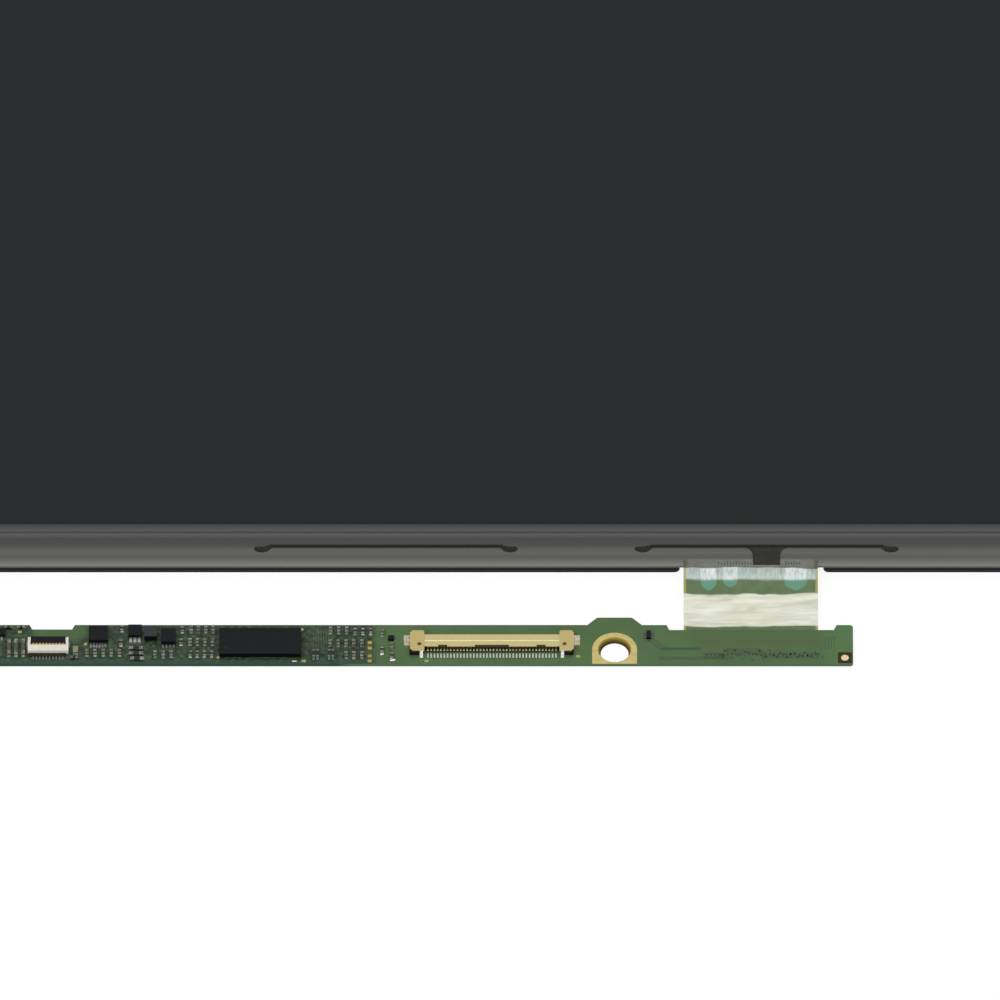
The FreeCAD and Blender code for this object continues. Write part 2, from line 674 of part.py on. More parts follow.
def contact_row(name, points, width, pitch, count, middle):
    """A row of like contacts: one bent profile, repeated along the panel."""
    body = doc.addObject("PartDesign::Body", name)
    first = pad(body, "YZ_Plane", points, width)
    row = body.newObject("PartDesign::LinearPattern", "Row")
    row.Originals = [first]
    row.Direction = (origin_part(body, "X_Axis"), [""])
    row.Mode = "Spacing"
    bind(row, "Offset", pitch)
    bind(row, "Occurrences", count)
    body.Tip = row
    put(body, f"{middle} - (({count} - 1) * {pitch} + {width}) / 2", z=board_top)
    return body


heel = f"({foot_near} + foot_length)"
contacts = contact_row("Contacts", [
    (foot_near, "0"), (f"{heel} + contact_gauge", "0"), (f"{heel} + contact_gauge", "arm_height - contact_gauge"),
    (f"{foot_near} + foot_length + arm_reach", "arm_height - contact_gauge"),
    (f"{foot_near} + foot_length + arm_reach", "arm_height"), (heel, "arm_height"), (heel, "contact_gauge"),
    (foot_near, "contact_gauge"),
], "contact_width", "contact_pitch", "contact_count", socket_middle)
node(contacts, "display_contacts")

insulator_width = "(shell_width + 2 * insulator_out)"
insulator_block = block("InsulatorBlock", f"{socket_middle} - {insulator_width} / 2", insulator_near, board_top,
                        insulator_width, "insulator_depth", "insulator_height")
mouth = block("Mouth", f"{socket_middle} - mouth_width / 2", f"{insulator_near} + insulator_depth - mouth_depth",
              f"{board_top} + mouth_low", "mouth_width", "mouth_depth", "mouth_height")
ends = [block("InsulatorEnd", f"{socket_middle} {way} ({insulator_width} - end_width) / 2 - end_width / 2",
              f"{insulator_near} - end_depth", board_top, "end_width", f"end_depth + insulator_depth / 2",
              "insulator_height") for way in ("-", "+")]
insulator = fuse("InsulatorWhole", [cut("InsulatorMouth", insulator_block, mouth)] + ends)
fitted = cut("InsulatorFitted", insulator, contacts)
node(fitted, "display_insulator")

shell = doc.addObject("PartDesign::Body", "Shell")
pad(shell, "YZ_Plane", [
    (insulator_near, "0"), (f"{insulator_near} + shell_depth / 2", "0"),
    (f"{insulator_near} + shell_depth / 2 + shell_step", "shell_step"),
    (f"{insulator_near} + shell_depth", "shell_step"), (f"{insulator_near} + shell_depth", "shell_step + shell_gauge"),
    (f"{insulator_near} + shell_depth / 2", "shell_step + shell_gauge"),
    (f"{insulator_near} + shell_depth / 2 - shell_step", "shell_gauge"), (insulator_near, "shell_gauge"),
], "shell_width", both_ways=True)
ear_low = f"({heel} - ear_overlap)"
ear_far = f"{ear_low} + ear_depth"
ear_corners = []
for way in ("-", ""):
    inner = f"{way}(shell_width / 2)"
    outer = f"{way}(shell_width / 2 + ear_width)"
    last = pad(shell, "XY_Plane", rectangle(inner, outer, ear_low, ear_far), "shell_gauge")
    ear_corners += [(outer, ear_low), (outer, ear_far), (inner, ear_far)]
soften(shell, last, "Fillet", ear_corners, "ear_round")
for middle, width in (("-window_spread", "window_outer"), ("0", "window_middle"), ("window_spread", "window_outer")):
    pocket(shell, "XY_Plane", rectangle(f"{middle} - {width} / 2", f"{middle} + {width} / 2", insulator_near,
                                        f"{insulator_near} + window_depth"))
put(shell, socket_middle, z=shell_bottom)
ear_holes, walls = [], []
for way in ("-", "+"):
    middle = f"{socket_middle} {way} (shell_width / 2 + ear_hole_out)"
    rim = f"{socket_middle} {way} (shell_width / 2 + ear_width) - shell_gauge / 2 {way} shell_gauge / 2"
    leg = f"{socket_middle} {way} (shell_width / 2 + leg_out + leg_width / 2) - leg_width / 2"
    ear_holes.append(disc("EarHole", middle, f"{ear_low} + ear_hole_in", shell_bottom, "ear_hole", "shell_gauge"))
    walls.append(block("EarRim", rim, f"{ear_low} + ear_round", f"{shell_bottom} + shell_gauge - ear_rim",
                       "shell_gauge", "ear_depth - 2 * ear_round", "ear_rim"))
    walls.append(block("Leg", leg, ear_low, board_top, "leg_width", "shell_gauge", "insulator_height + shell_gauge"))
    walls.append(block("LegFoot", leg, foot_near, board_top, "leg_width", f"{ear_low} - {foot_near}", "shell_gauge"))
node(fuse("ShellWhole", [cut("ShellDrilled", shell, group("EarHoles", ear_holes))] + walls), "display_shell")

clips = []
for way in ("-", "+"):
    clip_y = f"{ear_low} + clip_in"
    start = f"{socket_middle} {way} (shell_width / 2 + ear_width + shell_gauge + clip_reach / 2) - clip_reach / 2"
    clips.append(block("Clip", start, clip_y, board_top, "clip_reach", "clip_depth", "shell_gauge"))
node(group("Clips", clips), "display_clips")

# Ribbon socket: a white housing, ten contacts and a black latch that flips up

ribbon_low = f"({near} + ribbon_near)"
ribbon_face = f"({ribbon_low} + ribbon_block)"
axis_y = f"({ribbon_face} + latch_axis_y)"
axis_z = f"({board_top} + latch_axis_z)"
latch_half = "(ribbon_width / 2 - arm_gauge - latch_play)"

teeth = contact_row("Teeth", [
    (f"{near} + ribbon_foot", "0"), (f"{ribbon_face} + tooth_lower", "0"),
    (f"{ribbon_face} + tooth_lower", "ribbon_floor + tooth_lift"),
    (f"{ribbon_face} - tooth_throat", "ribbon_floor + tooth_lift"),
    (f"{ribbon_face} - tooth_throat", "ribbon_height - tooth_cover - tooth_gauge"),
    (f"{ribbon_face} + tooth_upper", "ribbon_height - tooth_cover - tooth_gauge"),
    (f"{ribbon_face} + tooth_upper", "ribbon_height - tooth_cover"),
    (f"{ribbon_low} + tooth_heel", "ribbon_height - tooth_cover"), (f"{ribbon_low} + tooth_heel", "tooth_gauge"),
    (f"{near} + ribbon_foot", "tooth_gauge"),
], "tooth_width", "ribbon_pitch", "ribbon_count", ribbon_middle)
node(teeth, "ribbon_contacts")

housing = doc.addObject("PartDesign::Body", "RibbonHousing")
pad(housing, "XY_Plane", rectangle("-ribbon_width / 2", "ribbon_width / 2", ribbon_low, ribbon_face), "ribbon_height")
pad(housing, "XY_Plane", rectangle("-ribbon_width / 2", "ribbon_width / 2", ribbon_face,
                                   f"{ribbon_face} + ribbon_floor_depth"), "ribbon_floor")
for way in ("-", ""):
    pad(housing, "XY_Plane", rectangle(f"{way}(ribbon_width / 2 - arm_gauge)", f"{way}(ribbon_width / 2)",
                                       ribbon_face, f"{ribbon_face} + arm_depth"), "ribbon_height")
put(housing, ribbon_middle, z=board_top)


def along_bar(name, start, length, radius):
    """A round bar along the panel, on the latch's axis."""
    made = doc.addObject("Part::Cylinder", name)
    bind(made, "Radius", radius)
    bind(made, "Height", length)
    made.Placement = FreeCAD.Placement(FreeCAD.Vector(), FreeCAD.Rotation(FreeCAD.Vector(0, 1, 0), 90))
    return put(made, start, axis_y, axis_z)


bores = along_bar("PivotBores", f"{ribbon_middle} - ribbon_width / 2", "ribbon_width", "pivot_radius + pivot_play")
node(cut("HousingFitted", cut("HousingBored", housing, bores), teeth), "ribbon_housing")

latch = doc.addObject("PartDesign::Body", "Latch")
pad(latch, "YZ_Plane", [
    ("-latch_heel", "-latch_under"), ("latch_length - latch_bevel", "-latch_under"),
    ("latch_length", "latch_bevel - latch_under"), ("latch_length", "latch_nose"),
    ("latch_length - latch_bevel", "latch_gauge - latch_under"),
    ("latch_bevel - latch_heel", "latch_gauge - latch_under"), ("-latch_heel", "latch_nose"),
], f"2 * {latch_half}", both_ways=True)
put(latch, ribbon_middle, axis_y, axis_z)
pivots = along_bar("Pivots", f"{ribbon_middle} - {latch_half} - pivot_length",
                   f"2 * ({latch_half} + pivot_length)", "pivot_radius")
node(fuse("LatchWhole", [latch, pivots]), "ribbon_latch")

nails = []
for way in ("-", "+"):
    nails.append(block("Nail", f"{ribbon_middle} {way} (ribbon_width / 2 + nail_width / 2) - nail_width / 2",
                       f"{ribbon_face} + nail_in", board_top, "nail_width", "nail_depth", "ribbon_floor"))
node(group("Nails", nails), "ribbon_nails")


def chip(label, beside):
    """A chip's moulded body on the board, measured from the piece to its right."""
    return block(label, f"{beside} - {label}_x - {label}_length / 2", f"{near} + {label}_inset", board_top,
                 f"{label}_length", f"{label}_depth", f"{label}_height")


def bevelled(label, base):
    """The base with its top edges bevelled."""
    doc.recompute()
    made = doc.addObject("Part::Chamfer", f"{label}Bevel")
    made.Base = base
    top = base.Shape.BoundBox.ZMax
    rim = [i for i, edge in enumerate(base.Shape.Edges, 1) if not round(edge.BoundBox.ZMin - top, 3)]
    made.Edges = [(i, value(f"{label}_bevel"), value(f"{label}_bevel")) for i in rim]
    return made


def lead_row(label, beside, count, width="lead_width"):
    """Flat leads along a chip's near side."""
    made = []
    for i in range(count):
        start = f"{beside} - {label}_x + {i - (count - 1) / 2} * {label}_pitch - {width} / 2"
        made.append(block("Lead", start, f"{near} + {label}_inset - {label}_lead", board_top, width, f"{label}_lead",
                          "lead_gauge"))
    return made


# Chips: timing controller, power converter, regulator, switch, memory and coil
controller = block("controller", controller_left, f"{near} + controller_inset", board_top,
                   "controller_length", "controller_depth", "controller_height")
node(bevelled("controller", controller), "timing_controller")
node(bevelled("converter", chip("converter", controller_left)), "power_converter")
regulator = chip("regulator", controller_left)
switch = chip("switch", controller_left)
memory = chip("memory", ribbon_left)
diode = chip("diode", socket_left)
array_left = f"({hole_middle} + array_apart - array_length / 2)"
array = block("array", array_left, f"{near} + array_inset", board_top, "array_length", "array_depth", "array_height")
node(group("SmallChips", [regulator, switch, memory, diode, array]), "small_chips")
node(bevelled("coil", chip("coil", controller_left)), "power_coil")
leads = (
    lead_row("converter", controller_left, 6)
    + lead_row("regulator", controller_left, 3, "broad_lead")
    + lead_row("switch", controller_left, 4)
    + lead_row("memory", ribbon_left, 3)
)
for i in (-1, 0, 1):
    for start in (f"{array_left} - array_lead", f"{array_left} + array_length"):
        row = f"{near} + array_inset + array_depth / 2 + {i} * array_pitch - lead_width / 2"
        leads.append(block("Lead", start, row, board_top, "array_lead", "lead_width", "lead_gauge"))
node(group("Leads", leads), "chip_leads")


def row_of_parts(name, beside, count, kind, upright=True):
    """Like small parts in a row, measured from the piece to its right."""
    long_side, short_side = f"{kind}_length", f"{kind}_width"
    wide, deep = (short_side, long_side) if upright else (long_side, short_side)
    steps = ["0"] + [f"{i} * {name}_pitch" for i in range(1, count)]
    return [block(name, f"{beside} - {name}_x + {step} - {wide} / 2", f"{near} + {name}_inset - {deep} / 2",
                  board_top, wide, deep, f"{kind}_height") for step in steps]


# Small ceramic capacitors and resistors, in rows between the chips
capacitors = (
    row_of_parts("input", controller_left, 5, "cap")
    + row_of_parts("output", controller_left, 3, "cap")
    + row_of_parts("core", controller_left, 4, "cap")
    + row_of_parts("plane", controller_left, 4, "cap")
    + row_of_parts("rail", socket_left, 3, "cap")
    + row_of_parts("bank", socket_left, 5, "cap")
    + row_of_parts("ground", socket_left, 3, "cap")
    + row_of_parts("feed", socket_left, 1, "cap")
    + row_of_parts("snub", socket_left, 1, "cap")
)
bulk = row_of_parts("bulk", ribbon_left, 3, "bulk")
resistors = (
    row_of_parts("sense", controller_left, 1, "res")
    + row_of_parts("divider", controller_left, 1, "shunt", upright=False)
    + row_of_parts("bias", controller_left, 1, "shunt", upright=False)
    + row_of_parts("pull", controller_left, 1, "shunt", upright=False)
    + row_of_parts("link", controller_left, 1, "res")
    + row_of_parts("gate", controller_left, 1, "res")
    + row_of_parts("drain", controller_left, 1, "res")
    + row_of_parts("bead", controller_left, 1, "res", upright=False)
    + row_of_parts("strap", controller_left, 4, "res")
    + row_of_parts("series", socket_left, 3, "res")
    + row_of_parts("clamp", socket_left, 1, "res")
    + row_of_parts("stub", socket_left, 1, "res")
    + row_of_parts("edge", ribbon_left, 2, "res", upright=False)
)
quads = row_of_parts("filter", socket_left, 2, "quad")
node(group("Capacitors", capacitors), "small_capacitors")
node(group("BulkCapacitors", bulk), "bulk_capacitors")
node(group("Resistors", resistors), "resistors")
node(group("Quads", quads), "four_pole_parts")
node(group("InputFuse", row_of_parts("fuse", controller_left, 1, "fuse")), "input_fuse")

doc.recompute()
for thing in doc.Objects:
    if "Invalid" in thing.State or "Error" in thing.State:
        raise RuntimeError(f"{thing.Label} is {thing.State}")
for piece in nodes:
    if piece.Shape.isNull() or not piece.Shape.isValid() or not piece.Shape.Solids:
        raise RuntimeError(f"{piece.Label} has no valid shape")
os.makedirs("parts", exist_ok=True)
for piece in nodes:
    piece.Shape.exportStep(f"parts/{piece.Label}.step")
print(len(nodes), "pieces")
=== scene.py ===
"""Liquid crystal screen panel of a laptop, lying on its back with its circuit board laid out beside it.

The frame is in metres. Sizes here are in millimetres, measured in the frame's axes: X along the panel,
Y from the board's near edge to the panel's far edge, Z up from the surface that it all lies on.
An inset on the board is the distance from its near edge.
"""
import math

import bmesh
import bpy
from mathutils import Matrix, Vector


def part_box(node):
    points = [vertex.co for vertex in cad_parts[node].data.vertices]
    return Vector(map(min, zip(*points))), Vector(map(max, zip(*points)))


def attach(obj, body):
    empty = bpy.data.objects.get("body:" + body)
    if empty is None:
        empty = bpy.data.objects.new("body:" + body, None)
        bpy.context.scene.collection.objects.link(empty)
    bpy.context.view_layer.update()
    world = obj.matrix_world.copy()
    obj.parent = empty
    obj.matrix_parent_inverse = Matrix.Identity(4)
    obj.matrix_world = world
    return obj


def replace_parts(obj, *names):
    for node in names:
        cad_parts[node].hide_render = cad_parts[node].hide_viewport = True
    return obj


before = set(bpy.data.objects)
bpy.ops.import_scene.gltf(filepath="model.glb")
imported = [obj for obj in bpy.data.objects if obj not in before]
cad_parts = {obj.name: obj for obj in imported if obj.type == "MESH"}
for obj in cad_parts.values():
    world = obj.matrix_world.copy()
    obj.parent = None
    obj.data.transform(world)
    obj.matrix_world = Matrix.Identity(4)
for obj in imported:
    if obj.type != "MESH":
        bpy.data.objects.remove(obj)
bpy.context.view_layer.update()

# Rear tray
# The back of the panel: aluminium sheet 0.2 mm thick, stamped and folded up along three sides.
# Rolling leaves it a soft grey sheen, uneven in faint streaks along the rolling direction.
MM = 0.001
MICRON = MM / 1000


def linear(code):
    """An sRGB hex colour as the linear numbers that a shader takes."""
    parts = [int(code[i:i + 2], 16) / 255 for i in (1, 3, 5)]
    return [c / 12.92 if c <= 0.04045 else ((c + 0.055) / 1.055) ** 2.4 for c in parts] + [1.0]


def add(owner, kind, inputs=None, stops=None, **settings):
    """Adds a node to a material or world, with its options, and returns its outputs.

    Its inputs are numbers, colours or links, and a ramp's colours come as stops.
    """
    node = owner.node_tree.nodes.new(f"ShaderNode{kind}")
    for name, setting in settings.items():
        setattr(node, name, setting)
    for name, given in (inputs or {}).items():
        if isinstance(given, bpy.types.NodeSocket):
            owner.node_tree.links.new(given, node.inputs[name])
        else:
            node.inputs[name].default_value = given
    for i, (place, code) in enumerate(stops or []):
        stop = node.color_ramp.elements[i] if i < 2 else node.color_ramp.elements.new(place)
        stop.position = place
        stop.color = linear(code)
    return node.outputs


def blank(name):
    """A new material without nodes."""
    made = bpy.data.materials.new(name)
    made.use_nodes = True
    made.node_tree.nodes.clear()
    return made


def facing_up(owner):
    """One on faces that look up, nothing on upright ones and those that look down."""
    normal = add(owner, "NewGeometry")["Normal"]
    upright = add(owner, "SeparateXYZ", {0: normal})["Z"]
    return add(owner, "Math", {0: upright, 1: 0.5}, operation="GREATER_THAN")[0]


def skin(name, pale, deep, grain, rough, relief=0.0, stretch=(1, 1, 1), side=None, **shader):
    """A material mottled between two close colours, with a third on upright faces if one is given.

    Its grain is in millimetres and its relief in micrometres. Further settings go to the shader by their
    names there, with underscores for spaces.
    """
    made = blank(name)
    place = add(made, "TexCoord")["Object"]
    place = add(made, "Mapping", {"Vector": place, "Scale": stretch})[0]
    cloud = add(made, "TexNoise", {"Vector": place, "Scale": 1 / (grain * MM), "Detail": 3.0})[0]
    colour = add(made, "ValToRGB", {0: cloud}, stops=[(0.35, deep), (0.65, pale)])[0]
    if side:
        upward = facing_up(made)
        colour = add(made, "Mix", {0: upward, 6: linear(side), 7: colour}, data_type="RGBA")[2]
    inputs = {"Base Color": colour, "Roughness": rough}
    if relief:
        inputs["Normal"] = add(made, "Bump", {"Height": cloud, "Distance": relief * MICRON})[0]
    inputs |= {word.replace("_", " "): given for word, given in shader.items()}
    body = add(made, "BsdfPrincipled", inputs)
    add(made, "OutputMaterial", {"Surface": body[0]})
    return made


def dress(node, material):
    """Gives a CAD node its material."""
    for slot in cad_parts[node].material_slots:
        slot.material = material


rolled_aluminium = skin("rolled_aluminium", "#b7babc", "#a3a7aa", grain=2.0, rough=0.38, relief=2.0,
                        stretch=(0.2, 1, 1), Metallic=1.0)
dress("rear_tray", rolled_aluminium)

# Reflector sheet
# White polyester film, loose in the tray, that sends stray light back into the light guide.
# Its filled core looks an even, flat white.
white_polyester = skin("white_polyester_film", "#f1f2f0", "#e8eae8", grain=3.0, rough=0.5, IOR=1.58)
dress("reflector_sheet", white_polyester)

# Light guide
# Clear acrylic plate, moulded and polished, with small dots on its back that let the light out.
# It lies in the frame against the lamps, and its polish leaves it clear and glossy.
clear_acrylic = skin("clear_acrylic_plate", "#eef4f5", "#e6eef0", grain=5.0, rough=0.06, IOR=1.49,
                     Transmission_Weight=0.9)
dress("light_guide", clear_acrylic)

# Diffuser and prism sheets
# A bead-coated film, and two films with moulded prisms at right angles to each other, all loose in the
# light box. The beads scatter light softly, and the prisms catch it in lines.
# The real prisms stand 0.05 mm apart; they are drawn 0.6 mm apart so that they show.
bead_coated = skin("bead_coated_film", "#e9ebea", "#dfe2e1", grain=0.4, rough=0.55, relief=4.0, IOR=1.58)
dress("diffuser_sheet", bead_coated)
prism_apart, prism_rise = 0.6, 0.02
# Blender's wave runs through this many radians for each unit of its scale
wave_turn = 20
for node, direction in (("lower_prism_sheet", "X"), ("upper_prism_sheet", "Y")):
    prism_film = blank(f"prism_film_{direction.lower()}")
    place = add(prism_film, "TexCoord")["Object"]
    prisms_per_metre = 1 / (prism_apart * MM)
    ridges = add(prism_film, "TexWave", {"Vector": place, "Scale": prisms_per_metre * math.tau / wave_turn},
                 bands_direction=direction, wave_profile="TRI")["Fac"]
    tint = add(prism_film, "ValToRGB", {0: ridges}, stops=[(0.2, "#d3d9db"), (0.8, "#e7ecee")])[0]
    lift = add(prism_film, "Bump", {"Height": ridges, "Distance": prism_rise * MM})[0]
    shader = add(prism_film, "BsdfPrincipled",
                 {"Base Color": tint, "Roughness": 0.2, "IOR": 1.58, "Normal": lift})
    add(prism_film, "OutputMaterial", {"Surface": shader[0]})
    dress(node, prism_film)

# Lamps
# A white flexible strip carries a row of white lamps in ceramic-filled packages, soldered side by side.
# Each has a window of yellow phosphor gel that faces the light guide, a little shinier than the ceramic.


def solids_of(node):
    """The lowest and highest corner, in millimetres, of each separate solid of a CAD node."""
    form = bmesh.new()
    form.from_mesh(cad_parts[node].data)
    bmesh.ops.remove_doubles(form, verts=form.verts, dist=MICRON)
    seen, found = set(), []
    for start in form.verts:
        if start in seen:
            continue
        seen.add(start)
        waiting, island = [start], []
        while waiting:
            here = waiting.pop()
            island.append(here.co / MM)
            for edge in here.link_edges:
                there = edge.other_vert(here)
                if there not in seen:
                    seen.add(there)
                    waiting.append(there)
        found.append((Vector(map(min, *island)), Vector(map(max, *island))))
    form.free()
    return found


def box(form, low, high):
    """A plain box between two corners in millimetres."""
    low, high = Vector(low) * MM, Vector(high) * MM
    size = Matrix.Diagonal((*(high - low), 1))
    middle = Matrix.Translation((low + high) / 2)
    return bmesh.ops.create_cube(form, size=1, matrix=middle @ size)["verts"]


def finish_piece(name, form, material, body="panel", smooth=False):
    """Makes an object of the form, which rides on a CAD body and takes a finish."""
    mesh = bpy.data.meshes.new(name)
    bmesh.ops.recalc_face_normals(form, faces=form.faces)
    for face in form.faces:
        face.smooth = smooth
    form.to_mesh(mesh)
    form.free()
    mesh.materials.append(material)
    piece = bpy.data.objects.new(name, mesh)
    bpy.context.scene.collection.objects.link(piece)
    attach(piece, body)
    return piece


dress("led_strip", skin("white_coverlay", "#e4e3da", "#d8d7cd", grain=1.5, rough=0.5))
dress("led_lamps", skin("filled_white_ceramic", "#f0f0ec", "#e4e4df", grain=0.5, rough=0.45))
gel = bmesh.new()
gel_side, gel_edge, gel_gauge = 0.21, 0.07, 0.02
for low, high in solids_of("led_lamps"):
    box(gel, (low.x + gel_side, high.y, low.z + gel_edge),
        (high.x - gel_side, high.y + gel_gauge, high.z - gel_edge))
phosphor_gel = skin("phosphor_gel", "#e8d048", "#dcc23a", grain=0.2, rough=0.3)
finish_piece("phosphor_windows", gel, phosphor_gel)

# Frame
# Moulded black polycarbonate ring. Its lip is the black line under the glass ledge, notched where the film
# passes. A fine spark-eroded texture in the mould leaves it an even satin black.
moulded_polycarbonate = skin("moulded_black_polycarbonate", "#1b1c1b", "#161716", grain=0.25, rough=0.5,
                             relief=3.0, Specular_IOR_Level=0.1)
dress("mould_frame", moulded_polycarbonate)

# Light shield tape
# Black polyester tape, die cut to a ring, which seals the glass to the frame and hides the lamps.
# Its matt coat gives back hardly any light.
dress("light_shield_tape", skin("black_polyester_tape", "#151515", "#101010", grain=1.0, rough=0.55))

# Rear polariser
# Dyed plastic film laminated to the back of the array glass.
# It has no matt coat, so it looks smooth and nearly black.
plain_polariser = skin("plain_polariser_film", "#1f2122", "#1a1c1d", grain=8.0, rough=0.2,
                       Specular_IOR_Level=0.3)
dress("rear_polariser", plain_polariser)

# Array glass
# Alkali-free glass 0.4 mm thick. Its bare ledge shows, side by side along the panel, the ground edge lit with
# a painted highlight, the pads for the film, the fan of fine tracks to the drivers and the sealed edge of the
# second glass.
# Thin metal under clear lacquer gives it bands of warm grey with a low gloss, and the cut edge is plain grey.
ledge_low, ledge_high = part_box("array_glass")
filter_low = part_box("filter_glass")[0]
ledge_depth = (filter_low.y - ledge_low.y) / MM
ledge_bands_and_highlight = [
    (0.0, "#757772"), (0.2, "#777975"), (0.6, "#6a6c68"), (1.8, "#4f504b"), (2.7, "#5b5c57"),
    (3.4, "#53544f"), (4.1, "#414240"), (5.5, "#393b38"), (6.3, "#525352"), (6.95, "#484a49"),
]
streak_length, streak_width, streak_shift = 60.0, 0.25, 0.03


def banded_glass(name, start, depth, bands, edge):
    """Glass with bands of colour that start at depths in millimetres from one edge, and a plain cut edge."""
    made = blank(name)
    place = add(made, "TexCoord")["Object"]
    drawn = add(made, "Mapping", {"Vector": place, "Scale": (streak_width / streak_length, 1, 1)})[0]
    streak = add(made, "TexNoise", {"Vector": drawn, "Scale": 1 / (streak_width * MM), "Detail": 2.0})
    across = add(made, "SeparateXYZ", {0: place})["Y"]
    share = add(made, "MapRange", {"Value": across, "From Min": start, "From Max": start + depth * MM})
    uneven = add(made, "Math", {0: streak[0], 1: streak_shift, 2: -streak_shift / 2},
                 operation="MULTIPLY_ADD")[0]
    share = add(made, "Math", {0: share[0], 1: uneven})[0]
    band = add(made, "ValToRGB", {0: share}, stops=[(at / depth, code) for at, code in bands])[0]
    upward = facing_up(made)
    colour = add(made, "Mix", {0: upward, 6: linear(edge), 7: band}, data_type="RGBA")[2]
    glass = add(made, "BsdfPrincipled", {"Base Color": colour, "Roughness": 0.35, "Specular IOR Level": 0.25})
    add(made, "OutputMaterial", {"Surface": glass[0]})
    return made


dress("array_glass", banded_glass("lacquered_array_glass", ledge_low.y, ledge_depth, ledge_bands_and_highlight, "#5e615d"))

# Filter glass
# The second sheet of glass, bonded over the first with a line of black seal.
# The seal shows through its rim, which is painted darker towards the polariser as the shadow of the
# polariser's edge.
front_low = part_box("front_polariser")[0]
seal_depth = (front_low.y - filter_low.y) / MM
seal_and_shadow_bands = [(0.0, "#454746"), (0.35, "#434545"), (0.8, "#3a3c3c"), (1.3, "#242623")]
dress("filter_glass", banded_glass("filter_glass_edge", filter_low.y, seal_depth, seal_and_shadow_bands, "#727573"))

# Front polariser
# Dyed film with a matt anti-glare coat of silica beads, laminated to the filter glass.
# With the panel unlit it absorbs nearly all light, so it looks like even dark grey paper.
anti_glare = skin("anti_glare_polariser", "#1d2021", "#1b1e1f", grain=0.4, rough=0.6, relief=1.0,
                  Specular_IOR_Level=0.12)
dress("front_polariser", anti_glare)

# Driver chips
# A long sliver of bare silicon at each place, bonded face down on the ledge with conductive film.
# Polished and sealed, it shows only as a thin dark line.
sealed_silicon = skin("sealed_silicon", "#22231d", "#1c1d17", grain=0.6, rough=0.4, Specular_IOR_Level=0.08)
dress("source_drivers", sealed_silicon)

# Drops of resin
# Dark epoxy seals each end of a driver. It was dispensed by needle, so it trails off from the chip's end and
# sits in uneven, slightly glossy heaps that have run together.
drop_length, drop_depth, drop_rise = 1.15, 0.6, 0.17
# How far each heap lies out from the chip's end and nearer than its middle, and its shares of those sizes
resin_heaps = ((1.1, 0.62, 1, 1, 1), (0.25, 0.26, 0.6, 0.65, 1), (1.75, 0.5, 0.5, 0.8, 0.8))


def dome(form, middle, radii, turns=20, rings=6):
    """A flat-bottomed half ellipsoid."""
    levels = []
    for ring in range(rings):
        lift = ring / rings * math.pi / 2
        levels.append([form.verts.new((
            (middle[0] + radii[0] * math.cos(lift) * math.cos(turn * math.tau / turns)) * MM,
            (middle[1] + radii[1] * math.cos(lift) * math.sin(turn * math.tau / turns)) * MM,
            (middle[2] + radii[2] * math.sin(lift)) * MM)) for turn in range(turns)])
    top = form.verts.new((middle[0] * MM, middle[1] * MM, (middle[2] + radii[2]) * MM))
    form.faces.new(levels[0][::-1])
    for lower, upper in zip(levels, levels[1:]):
        for i in range(turns):
            form.faces.new((lower[i], lower[i - turns + 1], upper[i - turns + 1], upper[i]))
    for i in range(turns):
        form.faces.new((levels[-1][i], levels[-1][i - turns + 1], top))


resin = bmesh.new()
glass_top = ledge_high.z / MM
for low, high in solids_of("source_drivers"):
    chip_line = (low.y + high.y) / 2
    for end, way in ((low.x, -1), (high.x, 1)):
        for out, nearer, length, depth, rise in resin_heaps:
            dome(resin, (end + way * out, chip_line - nearer, glass_top),
                 (drop_length * length, drop_depth * depth, drop_rise * rise))
epoxy = skin("dispensed_epoxy", "#272822", "#1c1d18", grain=0.35, rough=0.35, relief=8.0,
             Specular_IOR_Level=0.1)
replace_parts(finish_piece("resin_drops", resin, epoxy, smooth=True), "driver_resin")

# Supply tracks
# One broad metal area on each side of the glass feeds the outer driver from the film.
# It flares towards the driver, and dark lacquer covers it.
right_film_low, right_film_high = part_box("right_film")
film_middle = (right_film_low.x + right_film_high.x) / 2 / MM
track_left, track_right = film_middle + 0.34, film_middle + 4.52
track_low, track_high = ledge_low.y / MM + 0.12, ledge_low.y / MM + 3.7
track_flare, track_neck, lacquer_gauge = 1.25, 1.6, 0.09
flare_turns = (0, 0.35, 0.7, 1.05, 1.4, math.pi / 2)


def plate(form, points, bottom, top):
    """A flat plate with an outline of points in millimetres."""
    lower = [form.verts.new((x * MM, y * MM, bottom * MM)) for x, y in points]
    upper = [form.verts.new((x * MM, y * MM, top * MM)) for x, y in points]
    form.faces.new(lower[::-1])
    form.faces.new(upper)
    for i in range(len(points)):
        form.faces.new((lower[i - 1], lower[i], upper[i], upper[i - 1]))


tracks = bmesh.new()
flare = [(track_flare * (1 - math.cos(turn)), track_neck * math.sin(turn)) for turn in flare_turns]
right_side = [(track_right + out, track_high - track_neck + up) for out, up in flare]
left_side = [(track_left - out, track_high - track_neck + up) for out, up in flare]
track_outline = [(track_left, track_low), (track_right, track_low)] + right_side + left_side[::-1]
plate(tracks, track_outline, glass_top, glass_top + lacquer_gauge)
plate(tracks, [(-x, y) for x, y in track_outline[::-1]], glass_top, glass_top + lacquer_gauge)
track_lacquer = skin("dark_track_lacquer", "#2d2e25", "#26271f", grain=1.2, rough=0.4,
                     Specular_IOR_Level=0.12)
finish_piece("supply_tracks", tracks, track_lacquer)
